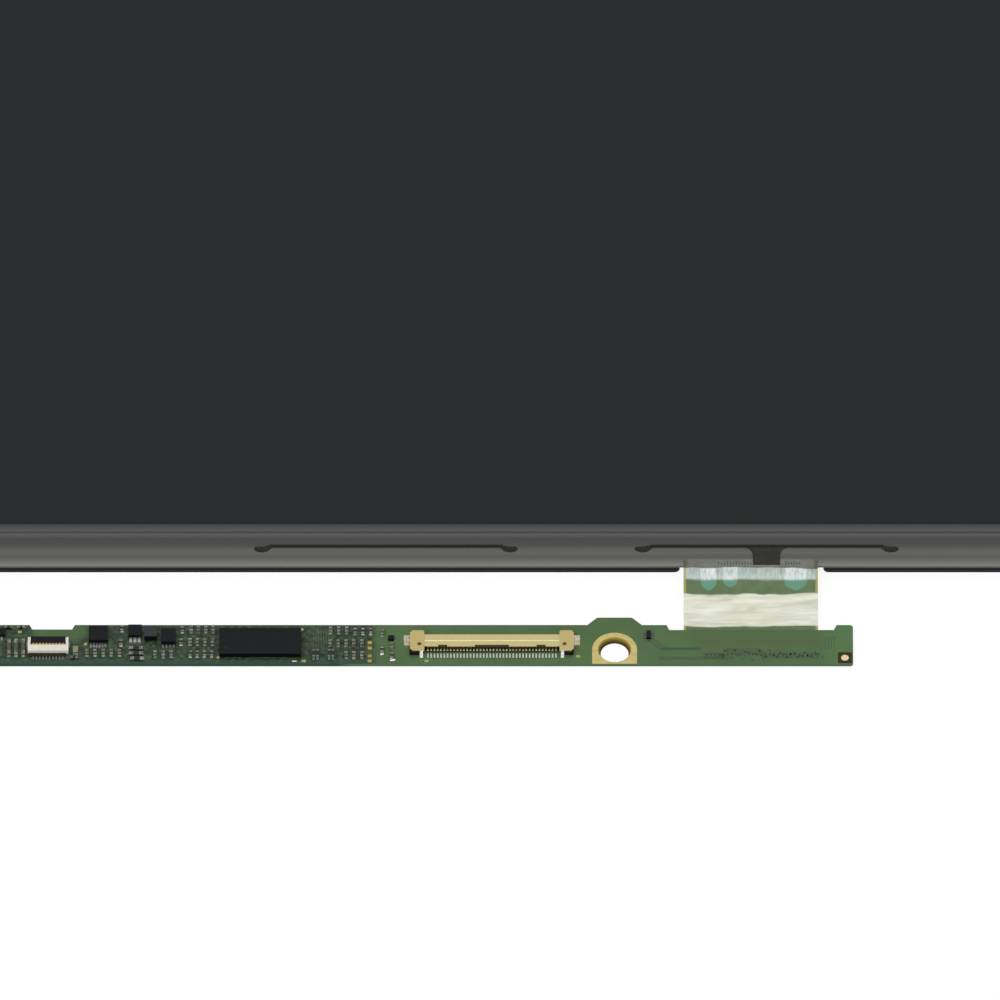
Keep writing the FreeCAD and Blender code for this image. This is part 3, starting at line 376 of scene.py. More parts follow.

# Flexible films
# Polyimide film with copper tracks. Near the glass its tracks are bare and tinned, whitened towards the ink
# by a painted highlight, with patches of blue-green ink; then comes green cover ink, a cream band that is a
# painted reflection of a lamp in the glossy film, and green ink again down to the board. The cut sides show
# the yellow-brown film itself, and the ink and the cream band have a low gloss.
glass_edge = ledge_low.y / MM
film_edge, tinned_end, ink_end, reflection_end = (glass_edge - reach for reach in (0.425, 2.725, 5.425, 11.2))
film_half = (right_film_high.x - right_film_low.x) / 2 / MM
swell_size, swell_reach = 5.0, 1.1
film = blank("cover_inked_film")
place = add(film, "TexCoord")["Object"]
axes = add(film, "SeparateXYZ", {0: place})
mirrored = add(film, "Math", {0: axes["X"]}, operation="ABSOLUTE")[0]
across = add(film, "Math", {0: mirrored, 1: -film_middle * MM})[0]
from_middle = add(film, "Math", {0: across}, operation="ABSOLUTE")[0]
flat_place = add(film, "CombineXYZ", {"X": across, "Y": axes["Y"]})[0]
swell = add(film, "TexNoise", {"Vector": place, "Scale": 1 / (swell_size * MM), "Detail": 2.0})[0]
along = add(film, "Math", {0: swell, 1: swell_reach * MM, 2: axes["Y"]},
            operation="MULTIPLY_ADD")[0]
along = add(film, "Math", {0: along, 1: -swell_reach / 2 * MM})[0]

# Broad copper areas, each narrowing to a tip under the ink: its middle, half its width and how far it reaches
copper_runs = [(-6.44, 1.3, 2.15), (-3.1, 1.2, 1.55), (6.84, 1.8, 2.1)]
tip_sharpness, copper_fade = 3.5, 0.2
depth = add(film, "Math", {0: tinned_end * MM, 1: axes["Y"]}, operation="SUBTRACT")[0]
copper = None
for middle, half_width, reach in copper_runs:
    sunk = add(film, "MapRange", {"Value": depth, "From Max": reach * MM})[0]
    sunk = add(film, "Math", {0: sunk, 1: tip_sharpness}, operation="POWER")[0]
    limit = add(film, "Math", {0: sunk, 1: -half_width * MM, 2: half_width * MM},
                operation="MULTIPLY_ADD")[0]
    away = add(film, "Math", {0: across, 1: -middle * MM})[0]
    away = add(film, "Math", {0: away}, operation="ABSOLUTE")[0]
    inward = add(film, "Math", {0: limit, 1: away}, operation="SUBTRACT")[0]
    inside = add(film, "MapRange", {"Value": inward, "From Max": copper_fade * MM})[0]
    if copper is None:
        copper = inside
    else:
        copper = add(film, "Math", {0: copper, 1: inside}, operation="MAXIMUM")[0]

# Tinned tracks: fine uneven lines, brighter over the broad areas, and whitened towards the ink by a painted
# highlight
comb_width, comb_stretch = 0.35, 0.2
drawn = add(film, "Mapping", {"Vector": flat_place, "Scale": (1, comb_stretch, 1)})[0]
comb = add(film, "TexNoise", {"Vector": drawn, "Scale": 1 / (comb_width * MM), "Detail": 3.0})[0]
dull = add(film, "ValToRGB", {0: comb}, stops=[
    (0.3, "#8d9e97"), (0.5, "#a6b3ac"), (0.7, "#b9c5bf")])[0]
bright = add(film, "ValToRGB", {0: comb}, stops=[
    (0.3, "#a3b2b0"), (0.5, "#cdd8d6"), (0.7, "#e6ecea")])[0]
tinned = add(film, "Mix", {0: copper, 6: dull, 7: bright}, data_type="RGBA")[2]
nearer = add(film, "MapRange", {
    "Value": axes["Y"], "From Min": (film_edge - 0.6) * MM, "From Max": (tinned_end + 0.5) * MM,
    "To Max": 0.3})[0]
tinned = add(film, "Mix", {0: nearer, 6: tinned, 7: linear("#dde4df")}, data_type="RGBA")[2]
margin = add(film, "MapRange", {
    "Value": from_middle, "From Min": (film_half - 0.45) * MM, "From Max": (film_half - 0.3) * MM})[0]
tinned = add(film, "Mix", {0: margin, 6: tinned, 7: linear("#aaa77a")}, data_type="RGBA")[2]

# Green cover ink, blue-green over the broad copper areas, with yellow-brown film bare along its sides
mottle_size = 1.2
mottle = add(film, "TexNoise", {
    "Vector": place, "Scale": 1 / (mottle_size * MM), "Detail": 3.0})[0]
ink = add(film, "ValToRGB", {0: mottle}, stops=[(0.3, "#536943"), (0.7, "#5f7351")])[0]
ink = add(film, "Mix", {0: copper, 6: ink, 7: linear("#5f9079")}, data_type="RGBA")[2]
ink = add(film, "Mix", {0: margin, 6: ink, 7: linear("#9b9850")}, data_type="RGBA")[2]
lower_ink = add(film, "ValToRGB", {0: mottle}, stops=[(0.3, "#4e6640"), (0.7, "#5a704b")])[0]
lower_ink = add(film, "Mix", {0: margin, 6: lower_ink, 7: linear("#9b9850")}, data_type="RGBA")[2]

# Painted reflection of a lamp in the glossy film: a cream band, wrinkled across the film
wrinkle_width, wrinkle_stretch, wrinkle_rise = 0.9, 0.16, 0.025
drawn = add(film, "Mapping", {"Vector": place, "Scale": (wrinkle_stretch, 1, 1)})[0]
wrinkle = add(film, "TexNoise", {
    "Vector": drawn, "Scale": 1 / (wrinkle_width * MM), "Detail": 4.0, "Distortion": 0.6})[0]
cream_reflection = add(film, "ValToRGB", {0: wrinkle}, stops=[
    (0.3, "#c6c7b3"), (0.5, "#d7d8c7"), (0.7, "#e8eadc")])[0]

# The end that is bonded to the glass, grey metal under the film with brown adhesive at its corners
bonded = add(film, "ValToRGB", {0: mottle}, stops=[(0.3, "#62645d"), (0.7, "#73756e")])[0]
corner = add(film, "MapRange", {
    "Value": from_middle, "From Min": (film_half - 0.8) * MM, "From Max": (film_half - 0.4) * MM})[0]
bonded = add(film, "Mix", {0: corner, 6: bonded, 7: linear("#565042")}, data_type="RGBA")[2]

# One zone after the other, from the board to the glass: where it starts, its colour and how soft its limit is
colour = lower_ink
for limit, zone, soft in ((reflection_end, cream_reflection, 0.12), (ink_end, ink, 0.15), (tinned_end, tinned, 0.25),
                          (film_edge, bonded, 0.08)):
    past = add(film, "MapRange", {
        "Value": along, "From Min": (limit - soft) * MM, "From Max": (limit + soft) * MM})[0]
    colour = add(film, "Mix", {0: past, 6: colour, 7: zone}, data_type="RGBA")[2]
crease = add(film, "Bump", {"Height": wrinkle, "Distance": wrinkle_rise * MM, "Strength": 0.6})[0]
shader = add(film, "BsdfPrincipled", {
    "Base Color": colour, "Roughness": 0.4, "Specular IOR Level": 0.3, "Normal": crease})
add(film, "OutputMaterial", {"Surface": shader[0]})
dress("left_film", film)
dress("right_film", film)

# Marks on the films' bonded ends
# Short etched test tracks in two groups, which show dark through the end of the film that is bonded to the
# glass. Every third one is longer.
bond_top = glass_top + 0.08
mark_half, mark_gauge, mark_start = 0.07, 0.006, glass_edge + 0.175
marks = bmesh.new()
for side in (-1, 1):
    for first, count, step in ((-4.9, 12, 0.45), (5.4, 6, 0.42)):
        for i in range(count):
            x = side * (film_middle + first + i * step)
            mark_length = 0.55 if i % 3 else 0.75
            box(marks, (x - mark_half, mark_start, bond_top),
                (x + mark_half, mark_start + mark_length, bond_top + mark_gauge))
etched_metal = skin("etched_dark_metal", "#33342f", "#2a2b26", grain=0.3, rough=0.4)
finish_piece("bond_marks", marks, etched_metal)

# Circuit board
# Glass-fibre laminate 0.6 mm thick with copper under green solder mask, routed to its outline.
# The mask is satin, and darker between the parts, partly where copper is cleared and partly as painted shade.
board_low, board_high = (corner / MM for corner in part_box("circuit_board"))
near_edge, board_top = board_low.y, board_high.z
mask = blank("green_solder_mask")
place = add(mask, "TexCoord")["Object"]
axes = add(mask, "SeparateXYZ", {0: place})
cloud_size, fine_size = 6.0, 0.7
cloud = add(mask, "TexNoise", {"Vector": place, "Scale": 1 / (cloud_size * MM), "Detail": 3.0})[0]
green = add(mask, "ValToRGB", {0: cloud}, stops=[(0.3, "#465f3b"), (0.7, "#4e6941")])[0]

# Many fine tracks between the chips, darkened between the parts with painted shade, apart from an open spot
# beside the notch
crowded_left, crowded_right, crowded_fade = -12.0, 51.5, 1
open_x, open_inset, open_half_x, open_half_y = 3.2, 6.3, 5.0, 2.2
fine = add(mask, "TexNoise", {"Vector": place, "Scale": 1 / (fine_size * MM), "Detail": 4.0})[0]
tracks_and_shade = add(mask, "ValToRGB", {0: fine}, stops=[
    (0.35, "#18251f"), (0.5, "#2c3d2c"), (0.65, "#405236")])[0]
away = add(mask, "Mapping", {
    "Vector": place, "Location": (-open_x / open_half_x, -(near_edge + open_inset) / open_half_y, 0),
    "Scale": (1 / (open_half_x * MM), 1 / (open_half_y * MM), 0)})[0]
away = add(mask, "VectorMath", {0: away}, operation="LENGTH")["Value"]
crowd = add(mask, "MapRange", {"Value": away, "From Min": 0.7, "From Max": 1.1, "To Min": 0.15})[0]
for start, inward in ((crowded_left, crowded_fade), (crowded_right, -crowded_fade)):
    within = add(mask, "MapRange", {
        "Value": axes["X"], "From Min": start * MM, "From Max": (start + inward) * MM})[0]
    crowd = add(mask, "Math", {0: crowd, 1: within}, operation="MULTIPLY")[0]
top_colour = add(mask, "Mix", {0: crowd, 6: green, 7: tracks_and_shade}, data_type="RGBA")[2]

# A strip of bluer ground copper along the near edge, beside the chips
ground_start, ground_full, ground_share = 0.95, 0.7, 0.65
ground = add(mask, "MapRange", {
    "Value": axes["Y"], "From Min": (near_edge + ground_start) * MM,
    "From Max": (near_edge + ground_full) * MM, "To Max": ground_share})[0]
ground = add(mask, "Math", {0: ground, 1: crowd}, operation="MULTIPLY")[0]
top_colour = add(mask, "Mix", {0: ground, 6: top_colour, 7: linear("#2e4a39")},
                 data_type="RGBA")[2]

# The tongue of each film inside the laminate, which shows through as a browner green
tongue_inner, tongue_outer, tongue_fade = 98.2, 120.4, 2.5
tongue_near, tongue_full = 3.2, 4.2
mirrored = add(mask, "Math", {0: axes["X"]}, operation="ABSOLUTE")[0]
tongue = add(mask, "MapRange", {
    "Value": axes["Y"], "From Min": (near_edge + tongue_near) * MM,
    "From Max": (near_edge + tongue_full) * MM})[0]
for start, stop in ((tongue_inner, tongue_inner + tongue_fade), (tongue_outer, tongue_outer - tongue_fade)):
    within = add(mask, "MapRange", {
        "Value": mirrored, "From Min": start * MM, "From Max": stop * MM})[0]
    tongue = add(mask, "Math", {0: tongue, 1: within}, operation="MULTIPLY")[0]
top_colour = add(mask, "Mix", {0: tongue, 6: top_colour, 7: linear("#4a5f3b")},
                 data_type="RGBA")[2]

# The ends of the board, a fresher green
end_start, end_full = 119, 121.5
outer = add(mask, "MapRange", {
    "Value": mirrored, "From Min": end_start * MM, "From Max": end_full * MM})[0]
top_colour = add(mask, "Mix", {0: outer, 6: top_colour, 7: linear("#4d6d43")}, data_type="RGBA")[2]

# Routed sides, dark up to where the chips end and green to the right of them
routed_start, routed_full = crowded_right - 6, crowded_right - 4
routed = add(mask, "MapRange", {
    "Value": axes["X"], "From Min": routed_start * MM, "From Max": routed_full * MM})[0]
routed = add(mask, "Mix", {0: routed, 6: linear("#173a2c"), 7: linear("#456447")},
             data_type="RGBA")[2]
normal = add(mask, "NewGeometry")["Normal"]
level = add(mask, "SeparateXYZ", {0: normal})["Z"]
level = add(mask, "Math", {0: level}, operation="ABSOLUTE")[0]
level = add(mask, "Math", {0: level, 1: 0.5}, operation="GREATER_THAN")[0]
colour = add(mask, "Mix", {0: level, 6: routed, 7: top_colour}, data_type="RGBA")[2]
shader = add(mask, "BsdfPrincipled", {"Base Color": colour, "Roughness": 0.4, "Specular IOR Level": 0.2})
add(mask, "OutputMaterial", {"Surface": shader[0]})
dress("circuit_board", mask)

# Edge line of the board
# A hair of bare brownish laminate, left by the router along the board's straight far edge.
# It stops at the notch and at the tabs that hold the screw holes.
straight_end, notch_left, notch_right = 83.2, -1.8, 5.45
straight_depth, line_width, line_gauge = 7.8, 0.14, 0.008


def patch(form, left, right, near, far, gauge):
    """A thin rectangle on the board, between two places along it and two insets."""
    box(form, (left, near_edge + near, board_top), (right, near_edge + far, board_top + gauge))


edge_line = bmesh.new()
for left, right in ((-straight_end, notch_left), (notch_right, straight_end)):
    patch(edge_line, left, right, straight_depth - line_width, straight_depth, line_gauge)
routed_laminate = skin("routed_laminate", "#4f5247", "#42463c", grain=0.5, rough=0.5)
finish_piece("routed_edge", edge_line, routed_laminate)

# Tracks under the mask
# Etched copper 0.035 mm thick. Under the green mask each track is a fine raised line, lighter or darker than
# the rest. Both ends of the board have a bundle of tracks and a row of short gaps in front of the film.
copper_gauge = 0.02


def track(form, points, width):
    """A line of constant width on the board, through points that are a place along it and an inset."""
    for (x0, in0), (x1, in1) in zip(points, points[1:]):
        run = Vector((x1 - x0, in1 - in0))
        size = Matrix.Diagonal(((run.length + width) * MM, width * MM, copper_gauge * MM, 1))
        middle = Vector(((x0 + x1) / 2, near_edge + (in0 + in1) / 2, board_top + copper_gauge / 2)) * MM
        turn = Matrix.Rotation(math.atan2(run.y, run.x), 4, "Z")
        bmesh.ops.create_cube(form, size=1, matrix=Matrix.Translation(middle) @ turn @ size)


pale_tracks, dark_tracks = bmesh.new(), bmesh.new()
bus_start, bus_step, bus_near, bus_far = 41.7, 0.38, 3.6, 7.0
for i in range(7):
    x = bus_start + bus_step * i
    track(pale_tracks, [(x, bus_near), (x, bus_far)], 0.12)
comb_start, comb_step, comb_near, comb_far, comb_bend = 119.7, 0.45, 2.9, 5.0, 0.4
for i in range(4):
    x = comb_start + comb_step * i
    track(dark_tracks, [(x, comb_near), (x, comb_far), (x + comb_bend, comb_far + 0.5)], 0.08)
fan_start, fan_bend, fan_end, fan_inset, fan_row, fan_step = 92.7, 94.5, 100.6, 4.8, 2.9, 0.15
pair_start, pair_end, pair_rows = 94.5, 104.6, (0.95, 1.3)
for i in range(3):
    row = fan_row + fan_step * i
    track(dark_tracks, [(fan_start + 0.5 * i, fan_inset), (fan_bend + 0.4 * i, row), (fan_end, row)], 0.12)
for row in pair_rows:
    track(dark_tracks, [(pair_start, row), (pair_end, row)], 0.14)
gap_start, gap_step, gap_row, gap_swing, gap_length = 101.6, 0.64, 1.62, 0.14, 0.25
bundle = [(101.2, 1.2), (104.0, 1.2), (104.8, 2.0), (109.6, 2.0), (110.4, 1.2), (118.6, 1.2)]
bundle_step = 0.33
for side in (-1, 1):
    for i in range(27):
        x, inset = side * (gap_start + gap_step * i), gap_row + gap_swing * math.sin(1.3 * i)
        track(dark_tracks, [(x, inset), (x, inset + gap_length)], 0.2)
    for i in range(4):
        track(dark_tracks, [(side * x, inset + bundle_step * i) for x, inset in bundle], 0.11)
mask_over_copper = skin("mask_over_copper", "#3e4e36", "#384631", grain=1.0, rough=0.4)
mask_over_gap = skin("mask_over_gap", "#2d432b", "#263b27", grain=1.0, rough=0.4)
finish_piece("pale_tracks", pale_tracks, mask_over_copper)
finish_piece("dark_tracks", dark_tracks, mask_over_gap)

# Vias, fiducials and test pads
# Small plated holes closed by the mask, and bare pads flashed with gold so that they stay bright.
# A stripe of yellow flux has dried round the row of four pads at the end of the crowded part.


def spot(form, x, inset, radius, sides=20):
    """A small round pad on the board."""
    middle = Vector((x, near_edge + inset, board_top + copper_gauge / 2)) * MM
    bmesh.ops.create_cone(form, cap_ends=True, segments=sides, radius1=radius * MM, radius2=radius * MM,
                          depth=copper_gauge * MM, matrix=Matrix.Translation(middle))


via_rings, bare_pads, flux_film = bmesh.new(), bmesh.new(), bmesh.new()
via_start, via_step, via_row, via_radius = 103.8, 0.53, 1.8, 0.2
for side in (-1, 1):
    for i in range(30):
        swing = 0.95 if i < 15 else 0.5
        spot(via_rings, side * (via_start + via_step * i), via_row + swing * math.sin(1.9 * i), via_radius,
             sides=12)
for x, inset in ((-3.1, 6.4), (40.2, 0.55), (58.9, 0.57), (82.0, 1.48)):
    patch(bare_pads, x - 0.3, x + 0.3, inset - 0.25, inset + 0.25, copper_gauge)
for x, inset in ((27.2, 1.26), (6.95, 3.95), (39.9, 6.9)):
    spot(bare_pads, x, inset, radius=0.28)
row_left, row_right, row_half = 49.95, 50.55, 0.28
for inset in (4.23, 3.16, 1.58, 0.57):
    patch(bare_pads, row_left, row_right, inset - row_half, inset + row_half, copper_gauge)
flux_margin, flux_near, flux_far = 0.23, 0.2, 4.75
patch(flux_film, row_left - flux_margin, row_right + flux_margin, flux_near, flux_far, copper_gauge / 2)
yellow_flux = skin("yellow_flux", "#4b4d28", "#3e4422", grain=0.6, rough=0.4, Specular_IOR_Level=0.2)
tented_via = skin("tented_via", "#2a3f30", "#24382b", grain=0.5, rough=0.5)
gold_flash = skin("fluxed_gold_flash", "#a5a266", "#84834f", grain=0.4, rough=0.4, Metallic=1.0)
finish_piece("dried_flux", flux_film, yellow_flux)
finish_piece("via_rings", via_rings, tented_via)
finish_piece("bare_pads", bare_pads, gold_flash)

# Test spot at the board's end
# A domed gold contact in a square of bare laminate, at each end of the board.
# The mask is left open there, so the square is the flat brown of the glass fibre and the dome is pale gold.
spot_x, spot_inset, spot_radius, spot_rise = 122.65, 1.2, 0.6, 0.12
window_half, window_near, window_far = 1.08, 0.12, 2.3
windows, contacts = bmesh.new(), bmesh.new()
for side in (-1, 1):
    patch(windows, side * spot_x - window_half, side * spot_x + window_half, window_near, window_far,
          copper_gauge)
    dome(contacts, (side * spot_x, near_edge + spot_inset, board_top + copper_gauge),
         (spot_radius, spot_radius, spot_rise))
brown_laminate = skin("bare_brown_laminate", "#382c12", "#2d230f", grain=0.6, rough=0.6,
                      Specular_IOR_Level=0.15)
pale_gold = skin("pale_gold_dome", "#e0cfa6", "#d2c095", grain=0.3, rough=0.35)
finish_piece("test_windows", windows, brown_laminate)
finish_piece("test_contacts", contacts, pale_gold, smooth=True)

# Screw lands and plated walls
# Copper round each screw hole, plated with gold, which grounds the panel through its screw. The hole's wall
# is plated as well and draws in a little askew towards the back. Lower down it is painted darker and browner
# as shade inside the hole.
plated_gold = skin("matt_gold_plating", "#c0b177", "#b4a56b", grain=0.8, rough=0.34, relief=1.0, Metallic=1.0)
dress("screw_lands", plated_gold)
hole_x, hole_inset, hole_radius, plating = 87.56, 2.8, 2.55, 0.06
foot_radius, foot_askew, hole_turns = 2.12, 0.34, 64
land_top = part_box("screw_lands")[1].z / MM
walls = bmesh.new()
for side in (-1, 1):
    rings = []
    for radius, height, askew in ((hole_radius, 0, 0), (hole_radius, land_top, 0),
                                  (hole_radius - plating, land_top, 0), (foot_radius, 0, foot_askew)):
        rings.append([walls.verts.new((
            (side * hole_x + radius * math.cos(turn * math.tau / hole_turns)) * MM,
            (near_edge + hole_inset - askew + radius * math.sin(turn * math.tau / hole_turns)) * MM,
            height * MM)) for turn in range(hole_turns)])
    for inner, outer in zip(rings, rings[1:] + rings[:1]):
        for i in range(hole_turns):
            walls.faces.new((inner[i], inner[i - hole_turns + 1], outer[i - hole_turns + 1], outer[i]))
wall = blank("shaded_hole_wall")
place = add(wall, "TexCoord")["Object"]
height = add(wall, "SeparateXYZ", {0: place})["Z"]
height = add(wall, "MapRange", {"Value": height, "From Max": land_top * MM})[0]
# Painted shade: gold at the wall's top, darkening to dark brown at its foot
wall_and_shade_colour = add(wall, "ValToRGB", {0: height}, stops=[
    (0.0, "#2a210a"), (0.4, "#4e3f16"), (0.75, "#836f27"), (1.0, "#a8953f")])[0]
shader = add(wall, "BsdfPrincipled", {
    "Base Color": wall_and_shade_colour, "Roughness": 0.5, "Specular IOR Level": 0.1})
add(wall, "OutputMaterial", {"Surface": shader[0]})
finish_piece("plated_walls", walls, wall)

# Display socket
# Forty phosphor-bronze contacts, gold plated at their tips and tinned at their feet, in a black insulator of
# liquid crystal polymer, painted brown on top as a reflection. A folded cover of gold-plated steel is
# soldered down by its legs and by a tinned clip at each end. The plating is pale and slightly uneven, and the
# cover's ears are painted a darker gold as shade.

polish_stretch, polish_grain, polish_spread, gold_fade = 0.15, 0.8, 0.08, 0.4


def two_metals(name, limit, tinned, gilded, rough=0.3, shade_width=0.0, ends=None):
    """Plated metal, tinned from the board's near edge to the limit and gilded beyond it, unevenly polished.

    A stripe of painted shade can part the two metals; its width is in millimetres. The gold can be painted
    darker at the ends as shade, given as the piece's middle along the panel, where they start from there, and
    their colour.
    """
    made = blank(name)
    place = add(made, "TexCoord")["Object"]
    axes = add(made, "SeparateXYZ", {0: place})
    along, gold = axes["Y"], linear(gilded)
    if ends:
        middle, start, shaded_gold = ends
        away = add(made, "Math", {0: axes["X"], 1: -middle * MM})[0]
        away = add(made, "Math", {0: away}, operation="ABSOLUTE")[0]
        shaded_ends = add(made, "MapRange", {
            "Value": away, "From Min": (start - gold_fade) * MM, "From Max": start * MM})[0]
        gold = add(made, "Mix", {0: shaded_ends, 6: gold, 7: linear(shaded_gold)}, data_type="RGBA")[2]
    gilt = add(made, "Math", {0: along, 1: limit * MM}, operation="GREATER_THAN")[0]
    colour = add(made, "Mix", {0: gilt, 6: linear(tinned), 7: gold}, data_type="RGBA")[2]
    if shade_width:
        shade_stripe = add(made, "Math", {0: along, 1: (limit + shade_width / 2) * MM, 2: shade_width / 2 * MM},
                     operation="COMPARE")[0]
        colour = add(made, "Mix", {0: shade_stripe, 6: colour, 7: linear("#4a4838")}, data_type="RGBA")[2]
    drawn = add(made, "Mapping", {"Vector": place, "Scale": (polish_stretch, 1, 1)})[0]
    cloud = add(made, "TexNoise", {
        "Vector": drawn, "Scale": 1 / (polish_grain * MM), "Detail": 3.0})[0]
    uneven = add(made, "MapRange", {
        "Value": cloud, "To Min": rough - polish_spread, "To Max": rough + polish_spread})[0]
    metal = add(made, "BsdfPrincipled", {"Base Color": colour, "Roughness": uneven, "Metallic": 1.0})
    add(made, "OutputMaterial", {"Surface": metal[0]})
    return made


contact_heel, leg_limit = near_edge + 2.19, near_edge + 1.93
shell_low, shell_high = (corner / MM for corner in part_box("display_shell"))
shell_middle, ears_start = (shell_low.x + shell_high.x) / 2, 10.4
# The dark stripe between the contacts' gold and tin is painted shade.
plated_bronze = two_metals("tinned_and_gilded_bronze", contact_heel, "#adb2ab", "#fbe6b2", shade_width=0.13)
# The cover's ears are painted a darker gold as shade.
plated_steel = two_metals("gold_plated_steel", leg_limit, "#d8dad6", "#b7ad7e", rough=0.42,
                          ends=(shell_middle, ears_start, "#b0a06c"))
# The insulator's top is painted brown as a reflection; its upright sides keep the polymer's black.
crystal_polymer = skin("black_crystal_polymer", "#3d3322", "#2f281a", grain=0.3, rough=0.5, side="#131312",
                       Specular_IOR_Level=0.2)
worn_tin = skin("worn_tin", "#b9b299", "#968f77", grain=0.7, rough=0.35, relief=2.0, Metallic=1.0)
dress("display_contacts", plated_bronze)
dress("display_insulator", crystal_polymer)
dress("display_shell", plated_steel)
dress("display_clips", worn_tin)

# Rivets and feet of the socket's ears
# A dark pressed rivet holds each ear of the cover to the insulator, which stands on a moulded black foot
# under the ear. The rivets are dull brown spots, and the feet look nearly as dark as their shadows.
rivet_out, rivet_inset, rivet_radius, rivet_length = 11.06, 3.23, 0.27, 0.18
rivet_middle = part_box("display_insulator")[1].z / MM + 0.04
foot_near, foot_far, foot_height = 1.75, 2.5, 0.35
rivets, insulator_feet = bmesh.new(), bmesh.new()
for way in (-1, 1):
    middle = Vector((shell_middle + way * rivet_out, near_edge + rivet_inset, rivet_middle)) * MM
    bmesh.ops.create_cone(rivets, cap_ends=True, segments=20, radius1=rivet_radius * MM,
                          radius2=rivet_radius * MM, depth=rivet_length * MM,
                          matrix=Matrix.Translation(middle))
for left, right in ((56.3, 57.2), (80.6, 81.3)):
    patch(insulator_feet, left, right, foot_near, foot_far, foot_height)
black_foot = skin("black_foot", "#121312", "#0f100f", grain=0.3, rough=0.5, Specular_IOR_Level=0.1)
dark_rivet = skin("dark_rivet", "#46361f", "#382b19", grain=0.2, rough=0.5)
finish_piece("insulator_feet", insulator_feet, black_foot)
finish_piece("ear_rivets", rivets, dark_rivet)

# Ribbon socket
# Cream-white nylon housing with ten contacts, and a black flip latch that turns on small pivots in the
# housing's arms. The contacts are gilded where they grip the ribbon and tinned at their feet, and a nail
# dulled with solder holds each end. The nylon is moulded, even and satin.
ribbon_limit = near_edge + 1.9
plated_spring = two_metals("tinned_and_gilded_spring", ribbon_limit, "#6d786f", "#c9a566")
dress("ribbon_housing", skin("cream_nylon", "#dedacd", "#d4d0c3", grain=0.4, rough=0.45, IOR=1.53))
black_nylon = skin("black_nylon", "#201d25", "#1a181e", grain=0.4, rough=0.42, Specular_IOR_Level=0.06)
dress("ribbon_latch", black_nylon)
dress("ribbon_contacts", plated_spring)
dress("ribbon_nails", skin("dull_solder", "#6f766a", "#5d6459", grain=0.4, rough=0.45, Metallic=0.5))

# Tips of the ribbon contacts, flux and painted shadow
# The gilded tips widen where they grip the ribbon. A dark brown strip lies over the contacts where they leave
# the housing: brown residue of soldering flux that has run together, darkened as painted shadow under the
# housing.
housing_low, housing_high = (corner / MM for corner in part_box("ribbon_housing"))
tip_half, tip_bottom, tip_top = 0.13, board_top + 0.56, board_top + 0.715
tip_near, tip_far = housing_low.y + 1.03, housing_low.y + 1.56
strip_inset, strip_rise = 1.38, 0.14
tips, flux_and_shadow = bmesh.new(), bmesh.new()
for low, high in solids_of("ribbon_contacts"):
    middle = (low.x + high.x) / 2
    box(tips, (middle - tip_half, tip_near, tip_bottom), (middle + tip_half, tip_far, tip_top))
box(flux_and_shadow, (housing_low.x + 0.1, near_edge + strip_inset, board_top),
    (housing_high.x - 0.4, housing_low.y, board_top + strip_rise))
gilded_tip = skin("gilded_tip", "#b8955a", "#9c7c48", grain=0.3, rough=0.35, Metallic=1.0)
brown_flux_and_shade = skin("brown_flux_and_shade", "#2d2a1c", "#232116", grain=0.5, rough=0.35, Specular_IOR_Level=0.1)
finish_piece("ribbon_tips", tips, gilded_tip)
finish_piece("ribbon_flux_and_shadow", flux_and_shadow, brown_flux_and_shade)

# Chips
# Black epoxy mouldings, with a round dimple at pin one that the ejector pin left.
# The mould gives them a fine matt texture, and its polished pin a smoother dimple. Their upright sides are
# painted near black as shade.
moulded_epoxy = skin("moulded_black_epoxy", "#1e1f21", "#1a1b1d", grain=0.2, rough=0.55, relief=3.0,
                     side="#0a0a0b", Specular_IOR_Level=0.05)
polished_dimple = skin("polished_dimple", "#1c1d1f", "#18191b", grain=1.0, rough=0.3, Specular_IOR_Level=0.15)
dimple_gauge = 0.006
# Shares of the chip's shorter side: the dimple's place from the chip's corner, and its radius
dimple_x, dimple_y, dimple_radius = 0.2, 0.22, 0.055
dimples = bmesh.new()
for node in ("timing_controller", "power_converter", "small_chips"):
    dress(node, moulded_epoxy)
    for low, high in solids_of(node):
        shorter = min(high.x - low.x, high.y - low.y)
        radius = dimple_radius * shorter * MM
        middle = Vector((low.x + dimple_x * shorter, low.y + dimple_y * shorter, high.z + 0.002)) * MM
        bmesh.ops.create_cone(dimples, cap_ends=True, segments=20, radius1=radius, radius2=radius,
                              depth=dimple_gauge * MM, matrix=Matrix.Translation(middle))
finish_piece("dimples", dimples, polished_dimple)

# Leads of the chips
# Bent copper alloy dipped in tin, smooth but dull. From the regulator on the leads are a shade duller, and
# those of the last chip were hardly wetted and stay dark.
lead_tones = [(11, "#9da09b"), (12, "#999d96"), (89, "#999d96"), (90, "#525a53")]
lead_reach = 100
lead_tin = blank("dipped_leads")
place = add(lead_tin, "TexCoord")["Object"]
along = add(lead_tin, "SeparateXYZ", {0: place})["X"]
share = add(lead_tin, "MapRange", {"Value": along, "From Max": lead_reach * MM})[0]
tarnish = add(lead_tin, "ValToRGB", {0: share}, stops=[(at / lead_reach, code) for at, code in lead_tones])
shader = add(lead_tin, "BsdfPrincipled", {
    "Base Color": tarnish[0], "Roughness": 0.35, "Metallic": 0.8})
add(lead_tin, "OutputMaterial", {"Surface": shader[0]})
dress("chip_leads", lead_tin)

# Coil
# A wire-wound coil closed with ferrite-filled resin and soldered at its foot.
# Its top is ground flat and grey, and its sides are nearly black.
ferrite_resin = skin("ground_ferrite_resin", "#3a393c", "#302f32", grain=0.12, rough=0.5, side="#0c0c0e",
                     Specular_IOR_Level=0.1)
dress("power_coil", ferrite_resin)

